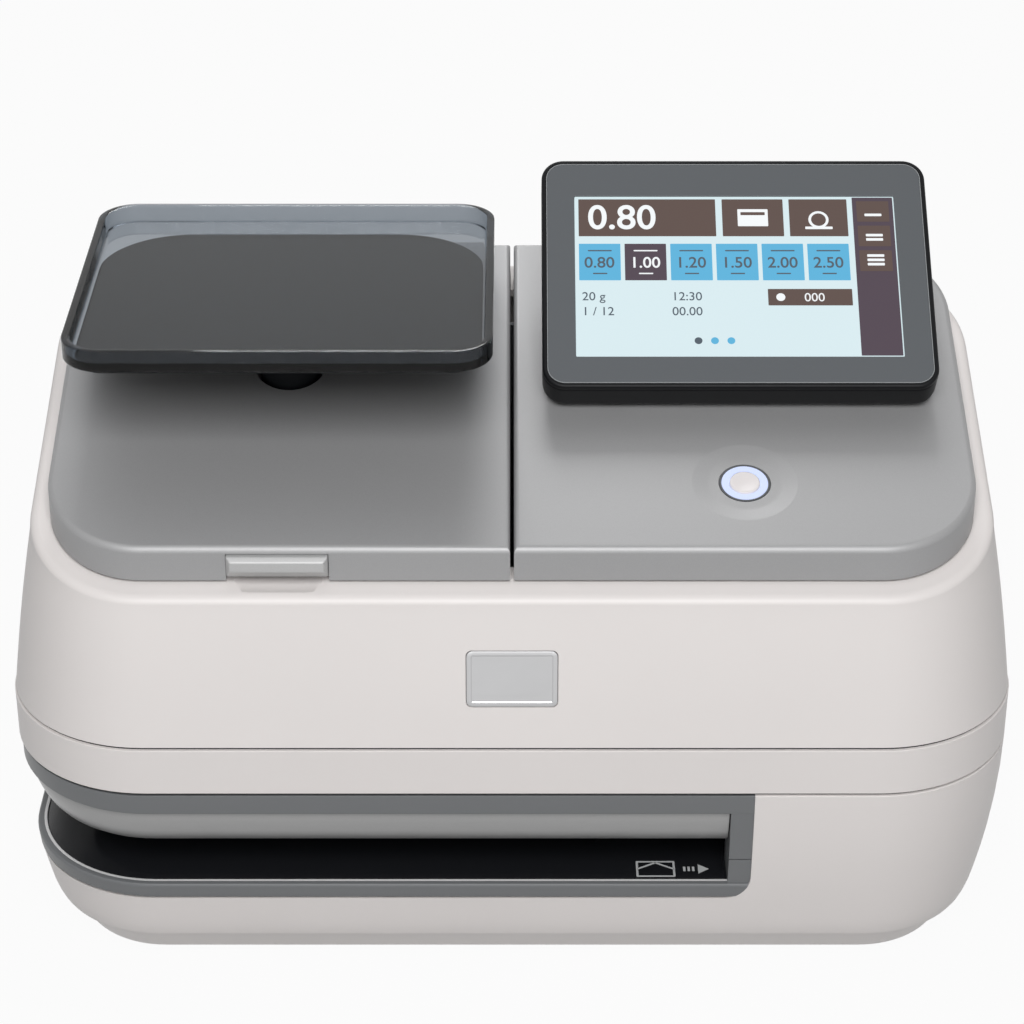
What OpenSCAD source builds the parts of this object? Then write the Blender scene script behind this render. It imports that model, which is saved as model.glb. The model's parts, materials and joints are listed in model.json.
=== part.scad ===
// Postage meter: moulded casing with a sloping deck, letter slot, tray scale, tilting display and print unit.
// Millimetres, +X right, +Y back, +Z up. The origin is on the table under the middle of the machine.

/* [Casing] */
// Width of the sloping deck
deck_w = 299.6; // [290:0.1:312]
// Depth of the deck in plan
deck_d = 141; // [138:0.5:156]
// Corner radius of the deck in plan
deck_r = 32; // [28:1:36]
// Slope of the deck in degrees
deck_slope = 17; // [15:0.5:18]
// Height of the deck's front edge
deck_front_z = 159.8; // [157:0.1:172]
// How far the casing swells past the deck's outline
belly = 15.2; // [13.5:0.1:17]
// How much further it swells at the sides
side_swell = 1.4; // [0:0.1:2]
// Width of the rim that shows round the deck
rim_w = 6.2; // [5:0.1:8]
// Drop from the deck's surface to the rim
rim_drop = 12.8; // [12:0.1:15]
// Width of the flange inside the rim that carries the covers
flange_w = 13.2; // [11:0.1:15]
// Wall of the moulded casings
case_wall = 2.6; // [2:0.1:3.2]
// Height of the lower seam
seam_low_z = 76.5; // [73:0.5:78]
// Height of the upper seam
seam_high_z = 94; // [90:0.5:98]
// Bevel on each side of a seam
seam_bevel = 0.6; // [0.3:0.1:1]
// Height at which the base turns in to its underside
base_bevel_z = 14; // [11:0.5:14]
// Offset of the casing where the base turns in
base_turn = 7; // [5.5:0.1:7.5]
// How far the base's underside is drawn in from the deck's outline
base_in = 1; // [0.5:0.1:2]
// Height of the feet under the base
foot_h = 3.5; // [3:0.1:4]
// Radius of a foot
foot_r = 9; // [6:0.5:11]

/* [Covers] */
// Gap between the two covers of the deck
split_gap = 1.2; // [1:0.1:3]
// Depth of the covers' skirts
skirt_h = 12; // [10:0.1:12]
// Thickness of the covers
cover_t = 2.4; // [2:0.1:3]
// Width of the lid's finger tab
grip_w = 32.2; // [26:0.1:40]
// How far the finger tab stands out of the skirt
grip_out = 3; // [2:0.1:4]
// Radius of the lid's hinge pins
lid_pin_r = 1.5; // [1.2:0.1:2]
// Radius of the lid's hinge knuckles
knuckle_r = 3.2; // [3:0.1:3.6]
// Width of the badge on the front wall
badge_w = 29.6; // [24:0.1:40]
// Height of the badge on the front wall
badge_h = 19.6; // [16:0.1:24]
// Depth of the badge's recess
badge_t = 1.2; // [0.8:0.1:1.6]

/* [Letter slot] */
// Height of the letter table
table_z = 38.4; // [37:0.1:39.5]
// Height of the gap that a letter goes into
slot_gap = 8.6; // [7:0.1:9.6]
// Thickness of the letter table
table_t = 3; // [2:0.5:4]
// Right end of the slot, from the middle
slot_end_x = 71.5; // [66:0.5:74]
// Back stop of the slot, from the middle
slot_back_y = 10; // [6:0.5:12]
// Width of the bezel's end posts
post_w = 7.5; // [6:0.5:9]
// Height of the upper bezel band
bezel_h = 8.3; // [8:0.1:11]
// Height of the lower bezel band
sill_h = 5.8; // [5:0.1:7]
// Corner radius of the slot's lower right end
slot_corner_r = 9; // [6:0.5:12]
// How far the bezel lies behind the casing's surface
bezel_in = 0.7; // [0.4:0.1:1.2]

/* [Scale] */
// Width of the weighing tray
tray_w = 136.5; // [120:0.5:140]
// Depth of the weighing tray
tray_d = 119; // [110:0.5:124]
// Height of the tray's wall
tray_h = 7.5; // [6.5:0.1:9]
// Thickness of the tray's wall
tray_wall = 2.7; // [2:0.1:3.5]
// Corner radius of the tray
tray_r = 13; // [8:0.5:18]
// Height of the tray's rim over the deck's front edge
tray_rise = 58.2; // [56.2:0.5:72.2]
// Middle of the tray, left of the machine's middle
tray_left = 74.2; // [72:0.1:76]
// Middle of the tray, behind the machine's middle
tray_back = 10.8; // [9:0.1:13]
// Thickness of the plate that carries the tray
carrier_t = 3; // [2:0.5:4]
// How far that plate ends in front of the tray's back edge
carrier_short = 12; // [8:0.5:20]
// Radius of that plate's rear corners
carrier_r = 30; // [15:0.5:40]
// Radius of the post under the tray
post_r = 10; // [8:0.5:12]

/* [Display] */
// Width of the display
disp_w = 130; // [124:0.5:134]
// Height of the display
disp_h = 89.2; // [82:0.1:91]
// Thickness of the display
disp_t = 13.5; // [12.5:0.1:15]
// Corner radius of the display
disp_r = 7.5; // [5:0.5:10]
// Tilt of the display from the horizontal
disp_tilt = 33.5; // [30:0.5:38]
// Width of the screen
screen_w = 108; // [100:0.5:114]
// Height of the screen
screen_h = 62.9; // [56:0.1:66]
// Middle of the display and of the power button, right of the machine's middle
disp_right = 75; // [73:0.5:77]
// Hinge of the display, in front of the machine's middle
disp_front = 7.3; // [5:0.1:10]
// Radius of the display's hinge pins
disp_pin_r = 2; // [1.5:0.1:2.2]

/* [Power button] */
// Place of the button in front of the machine's middle
button_front = 42.2; // [38:0.1:46]
// Diameter of the button's dark outer ring
button_ring_d = 16.7; // [15.5:0.1:18]
// Diameter of the button's cap
button_cap_d = 9.8; // [8.5:0.1:10.5]
// Diameter of the dish round the button
button_dish_d = 34; // [28:0.5:38]
// Travel of the button
button_travel = 1.2; // [0.8:0.1:1.5]

/* [Letter drive] */
// Radius of the feed rollers
feed_r = 14; // [13:0.5:14.5]
// Width of a feed roller
roller_w = 14; // [10:0.5:15]
// Radius of the feed shaft
feed_shaft_r = 3; // [2.5:0.1:3.2]
// Place of the rollers, right of the machine's middle
feed_right = 40; // [38:0.5:42]
// Radius of the pulley on the feed shaft
feed_pulley_r = 16; // [14:0.5:17]
// Radius of the pulley on the motor
motor_pulley_r = 8; // [7:0.5:9]
// Radius of the drive motor
motor_r = 18; // [16:0.5:19]
// Radius of the pressure rollers
press_r = 8; // [7:0.5:9]
// Gap between feed and pressure rollers
nip_gap = 0.5; // [0.4:0.1:1]

/* [Print unit] */
// Width of an ink cartridge
ink_w = 19.8; // [18:0.1:20.5]
// Depth of an ink cartridge
ink_d = 51; // [46:0.5:53]
// Height of an ink cartridge
ink_h = 60; // [54:0.5:62]
// Travel of the print carriage
carriage_travel = 36; // [30:0.5:36]
// Radius of the carriage's guide rods
rod_r = 3; // [2.5:0.1:3.5]
// Radius of the carriage's lead screw
screw_r = 2.5; // [2:0.1:3]

/* [Clearances] */
// Radial clearance of a shaft in its bore
fit = 0.05; // [0.02:0.01:0.08]
// Free gap between pieces that pass each other
gap = 0.4; // [0.3:0.1:0.6]

/* [Hidden] */
$fn = 48;

// Steps in a quarter circle of a lofted corner
corner_steps = 10;
// A length well past the machine, for cuts
far = 400;
// A little overlap for pieces that are fused
bite = 0.5;

// Half sizes of the deck, its slope as a ratio, and the box of its outline
half_w = deck_w / 2;
half_d = deck_d / 2;
rise = tan(deck_slope);
deck_box = [-half_w, half_w, -half_d, half_d];
deck_radii = [deck_r, deck_r, deck_r, deck_r];
rim_front_z = deck_front_z - rim_drop;
flange_in = flange_w - rim_w;

// Casing curve: how fast the base draws in below the lower seam, and the bow of the upper wall
base_curve = 0.0018;
wall_bow = 0.5;
upper_foot = belly - 0.3;

// Floor and plates inside the base
floor_t = 2;
sheet_t = 2;
plate_z = foot_h + floor_t;
floor_z = plate_z + sheet_t;
lip_in = 6.5;

// Letter slot heights
ceiling_z = table_z + slot_gap;
ceiling_t = 2;
deck_top_z = ceiling_z + ceiling_t;
bezel_z = seam_low_z - bezel_h;
sill_z = table_z - sill_h;
sill_top_z = table_z + 0.4;
post_split_z = table_z + 10.9;
slot_post_x = slot_end_x + post_w;
slot_post_y = slot_back_y + post_w;

// Chassis plates
back_y = half_d - 14.5;
right_x = slot_post_x + 5;
left_x = -118;
chassis_top_z = deck_front_z + 18.2;
flange_t = 2;
flange_top_z = floor_z + flange_t;

// Lid hinge line, at the lid's rear lower edge
lid_hinge_y = half_d - 2.5;
lid_hinge_z = deck_z(lid_hinge_y) - rim_drop + 2.2;
lid_hinge_x = [-tray_left - 30, -tray_left + 51];
knuckle_w = 16;
arm_w = 6;
skirt_t = cover_t + 2;

// Scale heights
tray_x = -tray_left;
tray_top_z = deck_front_z + tray_rise;
tray_z = tray_top_z - tray_h;
carrier_z = tray_z - carrier_t;
cell_top_z = deck_z(tray_back - 6) - cover_t - 2.4;
cell_h = 12;
cell_half = 6;
cell_end_x = -half_w + skirt_t + 9;

// Display frame: the hinge line and where the body lies round it
disp_low = 7;
disp_face = 7;
disp_back_z = disp_face - disp_t;
disp_hinge_y = -disp_front;
disp_lift = 8.5;
disp_hinge_z = deck_z(disp_hinge_y) + disp_lift / cos(deck_slope);
disp_wall = 2.2;
disp_frame_t = 2.2;
disp_frame_z = disp_face - disp_frame_t;
screen_shift = -1.5;
lug_half = 4;
lug_x = 40;
lug_r = 4;
lug_foot_front = 0.3;
lug_foot_back = 5.3;

// Rollers: the nip lies just above the table
nip_z = table_z + 1.2;
feed_z = nip_z + nip_gap / 2 + feed_r;
press_z = nip_z - nip_gap / 2 - press_r;
roller_y = [-40, -12];
pulley_y = back_y - 22;
pulley_w = 8;
belt_t = 1.4;
belt_w = 6;
motor_dx = 22;
motor_dz = 38.8;
motor_x = feed_right + motor_dx;
motor_z = feed_z + motor_dz;
motor_face_y = back_y - 26;
motor_len = 42;
motor_shaft_r = 2;
arm_pivot_dx = 26;
arm_pivot_z = press_z - 10.5;
arm_pin_r = 2.5;
axle_r = 2;
arm_y = [-52, 0];
arm_t = 4;
spring_r = 4;
spring_wire = 0.6;
spring_turns = 6;

// Print unit
ink_gap = 5;
ink_mid_x = -70;
carriage_y = -46;
carriage_len = 60;
carriage_wall = 4;
carriage_z = deck_top_z + 3;
carriage_h = 48;
carriage_half = ink_w + ink_gap / 2 + carriage_wall + gap;
nozzle_z = deck_top_z + 2.5;
ink_z = carriage_z + carriage_wall;
ink_top_z = ink_z + ink_h;
ear_w = 12;
rod_x = [ink_mid_x - carriage_half - 7, ink_mid_x + carriage_half + 7];
rod_z = carriage_z + 14;
screw_z = carriage_z + 5;
rail_y = -60;
rail_t = 3;
latch_y = carriage_y + carriage_len - 4;
latch_z = ink_top_z + 6;
latch_pin_r = 1.5;
latch_eye_r = 4;
ink_x = [ink_mid_x - ink_w / 2 - ink_gap / 2, ink_mid_x + ink_w / 2 + ink_gap / 2];

// Rear connectors
panel_x = [right_x - 26, right_x + 34];
panel_z = [14, 43];
panel_y = back_y + 16;
port_margin = 3;

// Height of the deck's surface at a depth, and of the casing's offset at a height or share of the upper wall
function deck_z(y) = deck_front_z + (y + deck_d / 2) * tan(deck_slope);
function base_out(z) = belly - base_curve * pow(seam_low_z - z, 2);
function upper_out(t) = rim_w + (upper_foot - rim_w) * (1 - t) + wall_bow * sin(180 * t);

// Points of a rounded rectangle [x0, x1, y0, y1] grown outwards, counter-clockwise from its front left corner
function arc(cx, cy, r, a) =
    [for (i = [0:corner_steps]) let (b = a + 90 * i / corner_steps) [cx + r * cos(b), cy + r * sin(b)]];
function side(d) = side_swell * max(0, d - rim_w) / (belly - rim_w);
function loop(box, radii, d) =
    let (r = [for (q = radii) max(q + d, 0.3)])
    let (x0 = box[0] - d - side(d), x1 = box[1] + d + side(d), y0 = box[2] - d, y1 = box[3] + d)
    concat(
        arc(x0 + r[0], y0 + r[0], r[0], 180),
        arc(x1 - r[1], y0 + r[1], r[1], 270),
        arc(x1 - r[2], y1 - r[2], r[2], 0),
        arc(x0 + r[3], y1 - r[3], r[3], 90)
    );

// A profile point is [outward offset, height at the deck's front edge, share of the deck's slope]
function ring(box, radii, p) =
    [for (q = loop(box, radii, p[0])) [q[0], q[1], p[1] + p[2] * rise * (q[1] + half_d)]];
function wall_faces(m, n, closed) = [
    for (j = [0:n - (closed ? 1 : 2)], i = [0:m - 1])
        let (k = (i + 1) % m, u = (j + 1) % n)
        let (a = j * m + i, b = j * m + k, c = u * m + k, e = u * m + i)
        each [[a, e, c], [a, c, b]]
];

// Solid lofted through rings and capped at both ends
module loft(box, radii, profile) {
    rings = [for (p = profile) ring(box, radii, p)];
    m = len(rings[0]);
    n = len(rings);
    caps = [[for (i = [0:m - 1]) i], [for (i = [m - 1:-1:0]) (n - 1) * m + i]];
    polyhedron([for (g = rings) each g], concat(wall_faces(m, n, false), caps));
}

// Closed band whose section is the profile, all round the outline
module band(box, radii, profile) {
    rings = [for (p = profile) ring(box, radii, p)];
    polyhedron([for (g = rings) each g], wall_faces(len(rings[0]), len(rings), true));
}

// Strip along an open stretch of the deck's outline, between outer and inner lines of [offset, height] points
module strip(stations, outer, inner) {
    s = len(stations);
    n = len(outer);
    section = concat(outer, [for (i = [n - 1:-1:0]) inner[i]]);
    m = len(section);
    points = [
        for (p = section, q = stations)
            let (r = deck_r + p[0])
            [q[0] + r * q[2] - q[4] * side(p[0]), q[1] + r * q[3], p[1]]
    ];
    sides = [
        for (j = [0:m - 1], i = [0:s - 2])
            let (u = (j + 1) % m)
            let (a = j * s + i, b = a + 1, e = u * s + i, c = e + 1)
            each [[a, e, c], [a, c, b]]
    ];
    ends = [
        for (j = [0:n - 2])
            let (a = j, b = j + 1, c = m - 2 - j, e = m - 1 - j)
            each [
                [c * s, b * s, a * s], [e * s, c * s, a * s],
                [a * s + s - 1, b * s + s - 1, c * s + s - 1], [a * s + s - 1, c * s + s - 1, e * s + s - 1]
            ]
    ];
    polyhedron(points, concat(sides, ends));
}

// Stations of the slot's path: from the left side, round the front left corner, to a place on the front
corner_x = -half_w + deck_r;
corner_y = -half_d + deck_r;
function slot_path(end_y, end_x) = concat(
    [[corner_x, end_y, -1, 0, 1]],
    [
        for (i = [0:corner_steps])
            let (b = 180 + 90 * i / corner_steps)
            [corner_x, corner_y, cos(b), sin(b), 1]
    ],
    [[end_x, corner_y, 0, -1, 0]]
);
function front_path(x0, x1) = [[x0, corner_y, 0, -1, 0], [x1, corner_y, 0, -1, 0]];
function left_path(y0, y1) = [[corner_x, y1, -1, 0, 1], [corner_x, y0, -1, 0, 1]];

// Flat plate in the deck's outline grown by d
module outline(d) {
    polygon(loop(deck_box, deck_radii, d));
}

module plate(box, radii, z, t) {
    translate([0, 0, z])
        linear_extrude(t)
            polygon(loop(box, radii, 0));
}

// Box given by its low and high corners
module block(low, high) {
    translate(low)
        cube(high - low);
}

// Rod along X or Y from a point
module rod_x(p, r, l) {
    translate(p)
        rotate([0, 90, 0])
            cylinder(r = r, h = l);
}

module rod_y(p, r, l) {
    translate(p)
        rotate([-90, 0, 0])
            cylinder(r = r, h = l);
}

// Places the children on the deck's surface, square to it
module on_deck(x, y) {
    translate([x, y, deck_z(y)])
        rotate([deck_slope, 0, 0])
            children();
}

// Places the children in the display's own frame, with its hinge line at the origin
module on_display() {
    translate([disp_right, disp_hinge_y, disp_hinge_z])
        rotate([disp_tilt, 0, 0])
            children();
}

// Places the children on the front wall, at the badge
badge_share = 0.46;
badge_z = seam_high_z + badge_share * (rim_front_z - seam_high_z);
badge_y = -half_d - upper_out(badge_share);
badge_lean = atan2(upper_foot - rim_w, rim_front_z - seam_high_z);
module on_badge() {
    translate([0, badge_y, badge_z])
        rotate([90 - badge_lean, 0, 0])
            children();
}

// Region of the lower casing that the slot and its bezels take, with the rounded lower right corner
module slot_region() {
    r = slot_corner_r;
    corner = [for (i = [0:corner_steps]) let (b = 270 + 90 * i / corner_steps)
        [slot_post_x - r + r * cos(b), sill_z + r + r * sin(b)]];
    outer = concat([[-far, sill_z]], corner, [[slot_post_x, seam_low_z + 1], [-far, seam_low_z + 1]]);
    translate([0, slot_post_y, 0])
        rotate([90, 0, 0])
            linear_extrude(far)
                polygon(outer);
}

// Casing

module base_shell() {
    outer_z = [20, 30, 40, 52, 64, seam_low_z - seam_bevel];
    inner_z = [seam_low_z, 52, 30, 20];
    profile = concat(
        [[-base_in, foot_h, 0], [base_turn, base_bevel_z, 0]],
        [for (z = outer_z) [base_out(z), z, 0]],
        [[belly - seam_bevel, seam_low_z, 0]],
        [for (z = inner_z) [base_out(z) - case_wall, z, 0]],
        [
            [base_turn - case_wall - 1, base_bevel_z - 0.5, 0],
            [-base_in - case_wall, plate_z, 0],
            [-base_in - lip_in, plate_z, 0],
            [-base_in - lip_in, foot_h, 0]
        ]
    );
    color("gainsboro")
        difference() {
            band(deck_box, deck_radii, profile);
            slot_region();
            block([panel_x[0] + port_margin, panel_y - 6, panel_z[0] + port_margin],
                  [panel_x[1] - port_margin, far / 2, panel_z[1] - port_margin]);
        }
}

module mid_band() {
    inner = belly - case_wall;
    color("gainsboro")
        band(deck_box, deck_radii, [
            [belly - seam_bevel, seam_low_z, 0],
            [belly, seam_low_z + seam_bevel, 0],
            [belly, seam_high_z - seam_bevel, 0],
            [belly - seam_bevel, seam_high_z, 0],
            [inner, seam_high_z, 0],
            [inner, seam_low_z, 0]
        ]);
}

module upper_casing() {
    wall_h = rim_front_z - seam_high_z;
    edge = [[0.55, -2.2], [0.15, -0.9], [-0.7, -0.2], [-1.9, 0]];
    profile = concat(
        [[upper_foot - seam_bevel, seam_high_z, 0]],
        [for (t = [0.012, 0.25, 0.5, 0.75, 0.9]) [upper_out(t), seam_high_z + t * wall_h, t]],
        [for (e = edge) [rim_w + e[0], rim_front_z + e[1], 1]],
        [
            [-flange_in, rim_front_z, 1],
            [-flange_in, rim_front_z - case_wall, 1],
            [rim_w - case_wall, rim_front_z - case_wall, 1]
        ],
        [for (t = [0.6, 0]) [upper_out(t) - case_wall, seam_high_z + t * wall_h, t]]
    );
    trough_x = [-half_w + 20, -split_gap / 2 + 0.3];
    color("gainsboro")
        difference() {
            band(deck_box, deck_radii, profile);
            // Room behind the lid for its knuckles and skirt
            block([trough_x[0], lid_hinge_y - 6, lid_hinge_z - 14],
                  [trough_x[1], lid_hinge_y + 5.4, lid_hinge_z + 14]);
            on_badge()
                translate([0, 0, -badge_t])
                    badge_outline(0, 4);
        }
}

module badge_outline(inset, t) {
    w = badge_w / 2 - inset;
    h = badge_h / 2 - inset;
    plate([-w, w, -h, h], [2, 2, 2, 2], 0, t);
}

module badge_plate() {
    color("silver")
        on_badge()
            translate([0, 0, -badge_t])
                badge_outline(0.15, badge_t - 0.2);
}

module base_plate() {
    color("dimgray")
        difference() {
            translate([0, 0, plate_z])
                linear_extrude(sheet_t)
                    outline(-base_in - case_wall - gap);
            base_screw_places()
                cylinder(r = screw_hole_r, h = far, center = true);
        }
}

foot_x = half_w - 1.0625 * deck_r;
foot_y = half_d - 0.875 * deck_r;
module rubber_feet() {
    color("black")
        for (x = [-foot_x, foot_x], y = [-foot_y, foot_y])
            translate([x, y, 0]) {
                cylinder(r1 = foot_r - 1, r2 = foot_r, h = 1);
                translate([0, 0, 1])
                    cylinder(r = foot_r, h = plate_z - 1);
            }
}

screw_hole_r = 1.6;
// The screws keep clear of the feet in depth
screw_y = foot_y - foot_r - 6.5;
module base_screw_places() {
    for (p = [[right_x + 9, -screw_y], [right_x + 9, screw_y], [left_x + 9, screw_y], [left_x + 9, screw_y - 25]])
        translate([p[0], p[1], 0])
            children();
}

module base_screws() {
    color("lightgray")
        base_screw_places()
            translate([0, 0, foot_h + 0.4]) {
                cylinder(r = 2.8, h = plate_z - foot_h - 0.4);
                cylinder(r = screw_hole_r - 0.1, h = flange_top_z + 1 - foot_h);
            }
}

// Letter slot

// Section of the bezel's end posts between two heights
function post_outer(z0, z1) = [for (z = [z0, (z0 + z1) / 2, z1]) [base_out(z) - bezel_in - 0.2, z]];
function post_inner(z0, z1) = [for (z = [z0, (z0 + z1) / 2, z1]) [-4, z]];
module end_posts(z0, z1) {
    strip(front_path(slot_end_x, slot_post_x), post_outer(z0, z1), post_inner(z0, z1));
    strip(left_path(slot_back_y, slot_post_y), post_outer(z0, z1), post_inner(z0, z1));
}

module upper_bezel() {
    out = belly - bezel_in;
    color("dimgray")
        union() {
            strip(slot_path(slot_post_y, slot_post_x),
                [[out, bezel_z], [out, seam_low_z]],
                [[5, bezel_z], [5, seam_low_z]]);
            end_posts(post_split_z, bezel_z + 1);
        }
}

sill_in = 9.6;
module lower_bezel() {
    shelf_z = table_z - table_t;
    outer = [
        [base_out(sill_z), sill_z], [base_out(sill_z), sill_z + 1.2],
        [base_out(table_z) - 0.2, table_z - 1], [base_out(table_z) - 1, sill_top_z]
    ];
    inner = [[sill_in - 3, sill_z], [sill_in - 3, shelf_z], [sill_in, shelf_z], [sill_in, sill_top_z]];
    r = slot_corner_r;
    color("dimgray")
        difference() {
            union() {
                strip(slot_path(slot_post_y, slot_post_x), outer, inner);
                end_posts(sill_z + bite, post_split_z);
            }
            // Rounded lower right corner
            difference() {
                block([slot_post_x - r, -half_d - 40, sill_z - r],
                      [slot_post_x + r, -half_d + 20, sill_z + r]);
                rod_y([slot_post_x - r, -half_d - 50, sill_z + r], r, 80);
            }
        }
}

module guide_lip() {
    h = bezel_z - ceiling_z;
    outer = [[-5, 0], [0, 0.125], [4.8, 0.236], [8.5, 0.373], [11, 0.59], [12.3, 0.81], [12.6, 1]];
    inner = [[-5, 0.11], [0.5, 0.245], [4.4, 0.4], [6.2, 0.51], [7.8, 0.64], [9.2, 0.81], [10, 1]];
    color("darkgray")
        strip(slot_path(slot_back_y, slot_end_x - gap),
            [for (p = outer) [p[0], ceiling_z + h * p[1]]],
            [for (p = inner) [p[0], ceiling_z + h * p[1]]]);
}

module letter_table() {
    color([0.1, 0.1, 0.11])
        difference() {
            translate([0, 0, table_z - table_t])
                linear_extrude(table_t)
                    intersection() {
                        outline(sill_in);
                        translate([-far, -far])
                            square([far + slot_end_x - 0.1, far + slot_back_y]);
                    }
            for (y = roller_y)
                translate([feed_right, y, table_z])
                    cube([2 * press_r + 4, roller_w + 3, far], center = true);
        }
}

stop_t = 2;
module letter_stops() {
    color([0.12, 0.12, 0.13]) {
        block([-half_w + 4, slot_back_y, table_z - table_t],
              [slot_end_x + stop_t, slot_back_y + stop_t, ceiling_z]);
        block([slot_end_x, -half_d + 4, table_z - table_t],
              [slot_end_x + stop_t, slot_back_y, ceiling_z]);
    }
}

// Chassis

module chassis() {
    color("lightsteelblue")
        difference() {
            union() {
                // Back, right and left plates
                block([left_x, back_y, floor_z], [right_x + sheet_t, back_y + sheet_t, chassis_top_z]);
                block([right_x, -58, floor_z], [right_x + sheet_t, back_y + bite, 128]);
                block([left_x, 20, floor_z], [left_x + sheet_t, back_y + bite, 150]);
                // Flanges on the base plate
                block([right_x, -58, floor_z], [right_x + 18, back_y + sheet_t, flange_top_z]);
                block([left_x, screw_y - 33, floor_z], [left_x + 18, back_y + sheet_t, flange_top_z]);
                // Bracket for the drive motor
                block([motor_x - motor_r, motor_face_y, motor_z - motor_r],
                      [right_x + bite, motor_face_y + sheet_t, motor_z + motor_r]);
                // Standoffs for the main board
                for (y = board_holes_y, z = board_holes_z)
                    rod_x([right_x + sheet_t - bite, y, z], 3, standoff_h + bite);
                // Arms that carry the lid's hinge
                for (x = lid_hinge_x)
                    hull() {
                        rod_x([x - arm_w / 2, lid_hinge_y, lid_hinge_z], knuckle_r, arm_w, $fn = 32);
                        block([x - arm_w / 2, back_y, chassis_top_z - 12],
                              [x + arm_w / 2, back_y + sheet_t, chassis_top_z]);
                    }
            }
            base_screw_places()
                cylinder(r = screw_hole_r, h = 2 * flange_top_z, center = true);
            rod_y([rod_x[1], back_y - 1, screw_z], screw_r + fit, sheet_t + 2);
            rod_y([motor_x, motor_face_y - 1, motor_z], motor_shaft_r + gap, sheet_t + 2);
            for (x = lid_hinge_x)
                rod_x([x - arm_w, lid_hinge_y, lid_hinge_z], lid_pin_r + fit, 2 * arm_w);
        }
}

module print_deck() {
    color("slategray")
        difference() {
            translate([0, 0, ceiling_z])
                linear_extrude(ceiling_t)
                    difference() {
                        intersection() {
                            outline(-5 - 0.05);
                            translate([-far, -far])
                                square([far + right_x, far + back_y]);
                        }
                        translate([-far, 20 - gap])
                            square([far + left_x + sheet_t, far]);
                        // Room for the bezel's right post
                        translate([slot_end_x - 0.1, -far])
                            square([far, far - half_d + 5]);
                    }
            for (y = roller_y)
                translate([feed_right, y, ceiling_z])
                    cube([2 * feed_r + 1, roller_w + 3, far], center = true);
            translate([feed_right, pulley_y + pulley_w / 2, ceiling_z])
                cube([2 * feed_pulley_r + 6, pulley_w + 4, far], center = true);
            // Windows for the print heads
            for (x = ink_x)
                translate([x, carriage_y + carriage_len / 2, ceiling_z])
                    cube([nozzle_w + 2, nozzle_d + 2, far], center = true);
        }
}

// Lid and scale

// The covers stand a hair clear of the rim
seat_gap = 0.08;
module cover_shell(box, radii) {
    loft(box, radii, [
        [-skirt_t, deck_front_z - cover_t, 1],
        [-skirt_t, rim_front_z + seat_gap, 1],
        [-cover_t, rim_front_z + seat_gap, 1],
        [-cover_t, deck_front_z - skirt_h, 1],
        [0, deck_front_z - skirt_h, 1],
        [0, deck_front_z - 1.7, 1],
        [-0.5, deck_front_z - 0.5, 1],
        [-1.7, deck_front_z, 1]
    ]);
}

split_r = 1.2;
module lid_cover() {
    color("darkgray")
        difference() {
            union() {
                cover_shell([-half_w, -split_gap / 2, -half_d, half_d], [deck_r, split_r, split_r, deck_r]);
                for (i = [0, 1])
                    rod_x([knuckle_x(i), lid_hinge_y, lid_hinge_z], knuckle_r, knuckle_w);
            }
            for (i = [0, 1]) {
                rod_x([knuckle_x(i) - 1, lid_hinge_y, lid_hinge_z], lid_pin_r + fit, knuckle_w + 2);
                block([lid_hinge_x[i] - arm_w / 2 - gap, lid_hinge_y - 8, lid_hinge_z - 9],
                      [lid_hinge_x[i] + arm_w / 2 + gap, lid_hinge_y + 8, lid_hinge_z + knuckle_r + gap]);
            }
            // Notch for the finger tab
            block([grip_x[0] - 0.2, -half_d - 5, rim_front_z - 5],
                  [grip_x[1] + 0.2, -half_d + cover_t + 0.1, deck_front_z - 2]);
            block([grip_x[0] - 4.2, -half_d + cover_t, rim_front_z - 5],
                  [grip_x[1] + 4.2, -half_d + skirt_t + 1, deck_front_z - cover_t]);
            // Hole for the scale's post
            translate([tray_x, tray_back, 0])
                cylinder(r = post_r + 2, h = far);
        }
}
// A knuckle lies outside each arm
function knuckle_x(i) = lid_hinge_x[i] + (i == 0 ? -1 : 1) * (arm_w / 2 + gap) - (i == 0 ? knuckle_w : 0);
grip_x = [tray_x - grip_w / 2, tray_x + grip_w / 2];

module lid_grip() {
    y = -half_d;
    tab = [
        [y + 0.6, deck_front_z - 2.2], [y - grip_out + 0.8, deck_front_z - 3.4],
        [y - grip_out, deck_front_z - 5], [y - grip_out, deck_front_z - 8.4],
        [y - grip_out + 1, deck_front_z - 9.4], [y + cover_t + bite, deck_front_z - 9.4],
        [y + cover_t + bite, deck_front_z - cover_t - gap]
    ];
    color("silver") {
        translate([grip_x[0], 0, 0])
            rotate([90, 0, 90])
                linear_extrude(grip_w)
                    polygon(tab);
        block([grip_x[0] - 4, y + cover_t, rim_front_z + 1.9],
              [grip_x[1] + 4, y + skirt_t, deck_front_z - cover_t - 0.2]);
    }
}

module lid_hinge_pins() {
    l = knuckle_w + gap + arm_w - 2;
    color("silver") {
        rod_x([knuckle_x(0) + 1, lid_hinge_y, lid_hinge_z], lid_pin_r, l);
        rod_x([lid_hinge_x[1] - arm_w / 2 + 1, lid_hinge_y, lid_hinge_z], lid_pin_r, l);
    }
}

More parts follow.
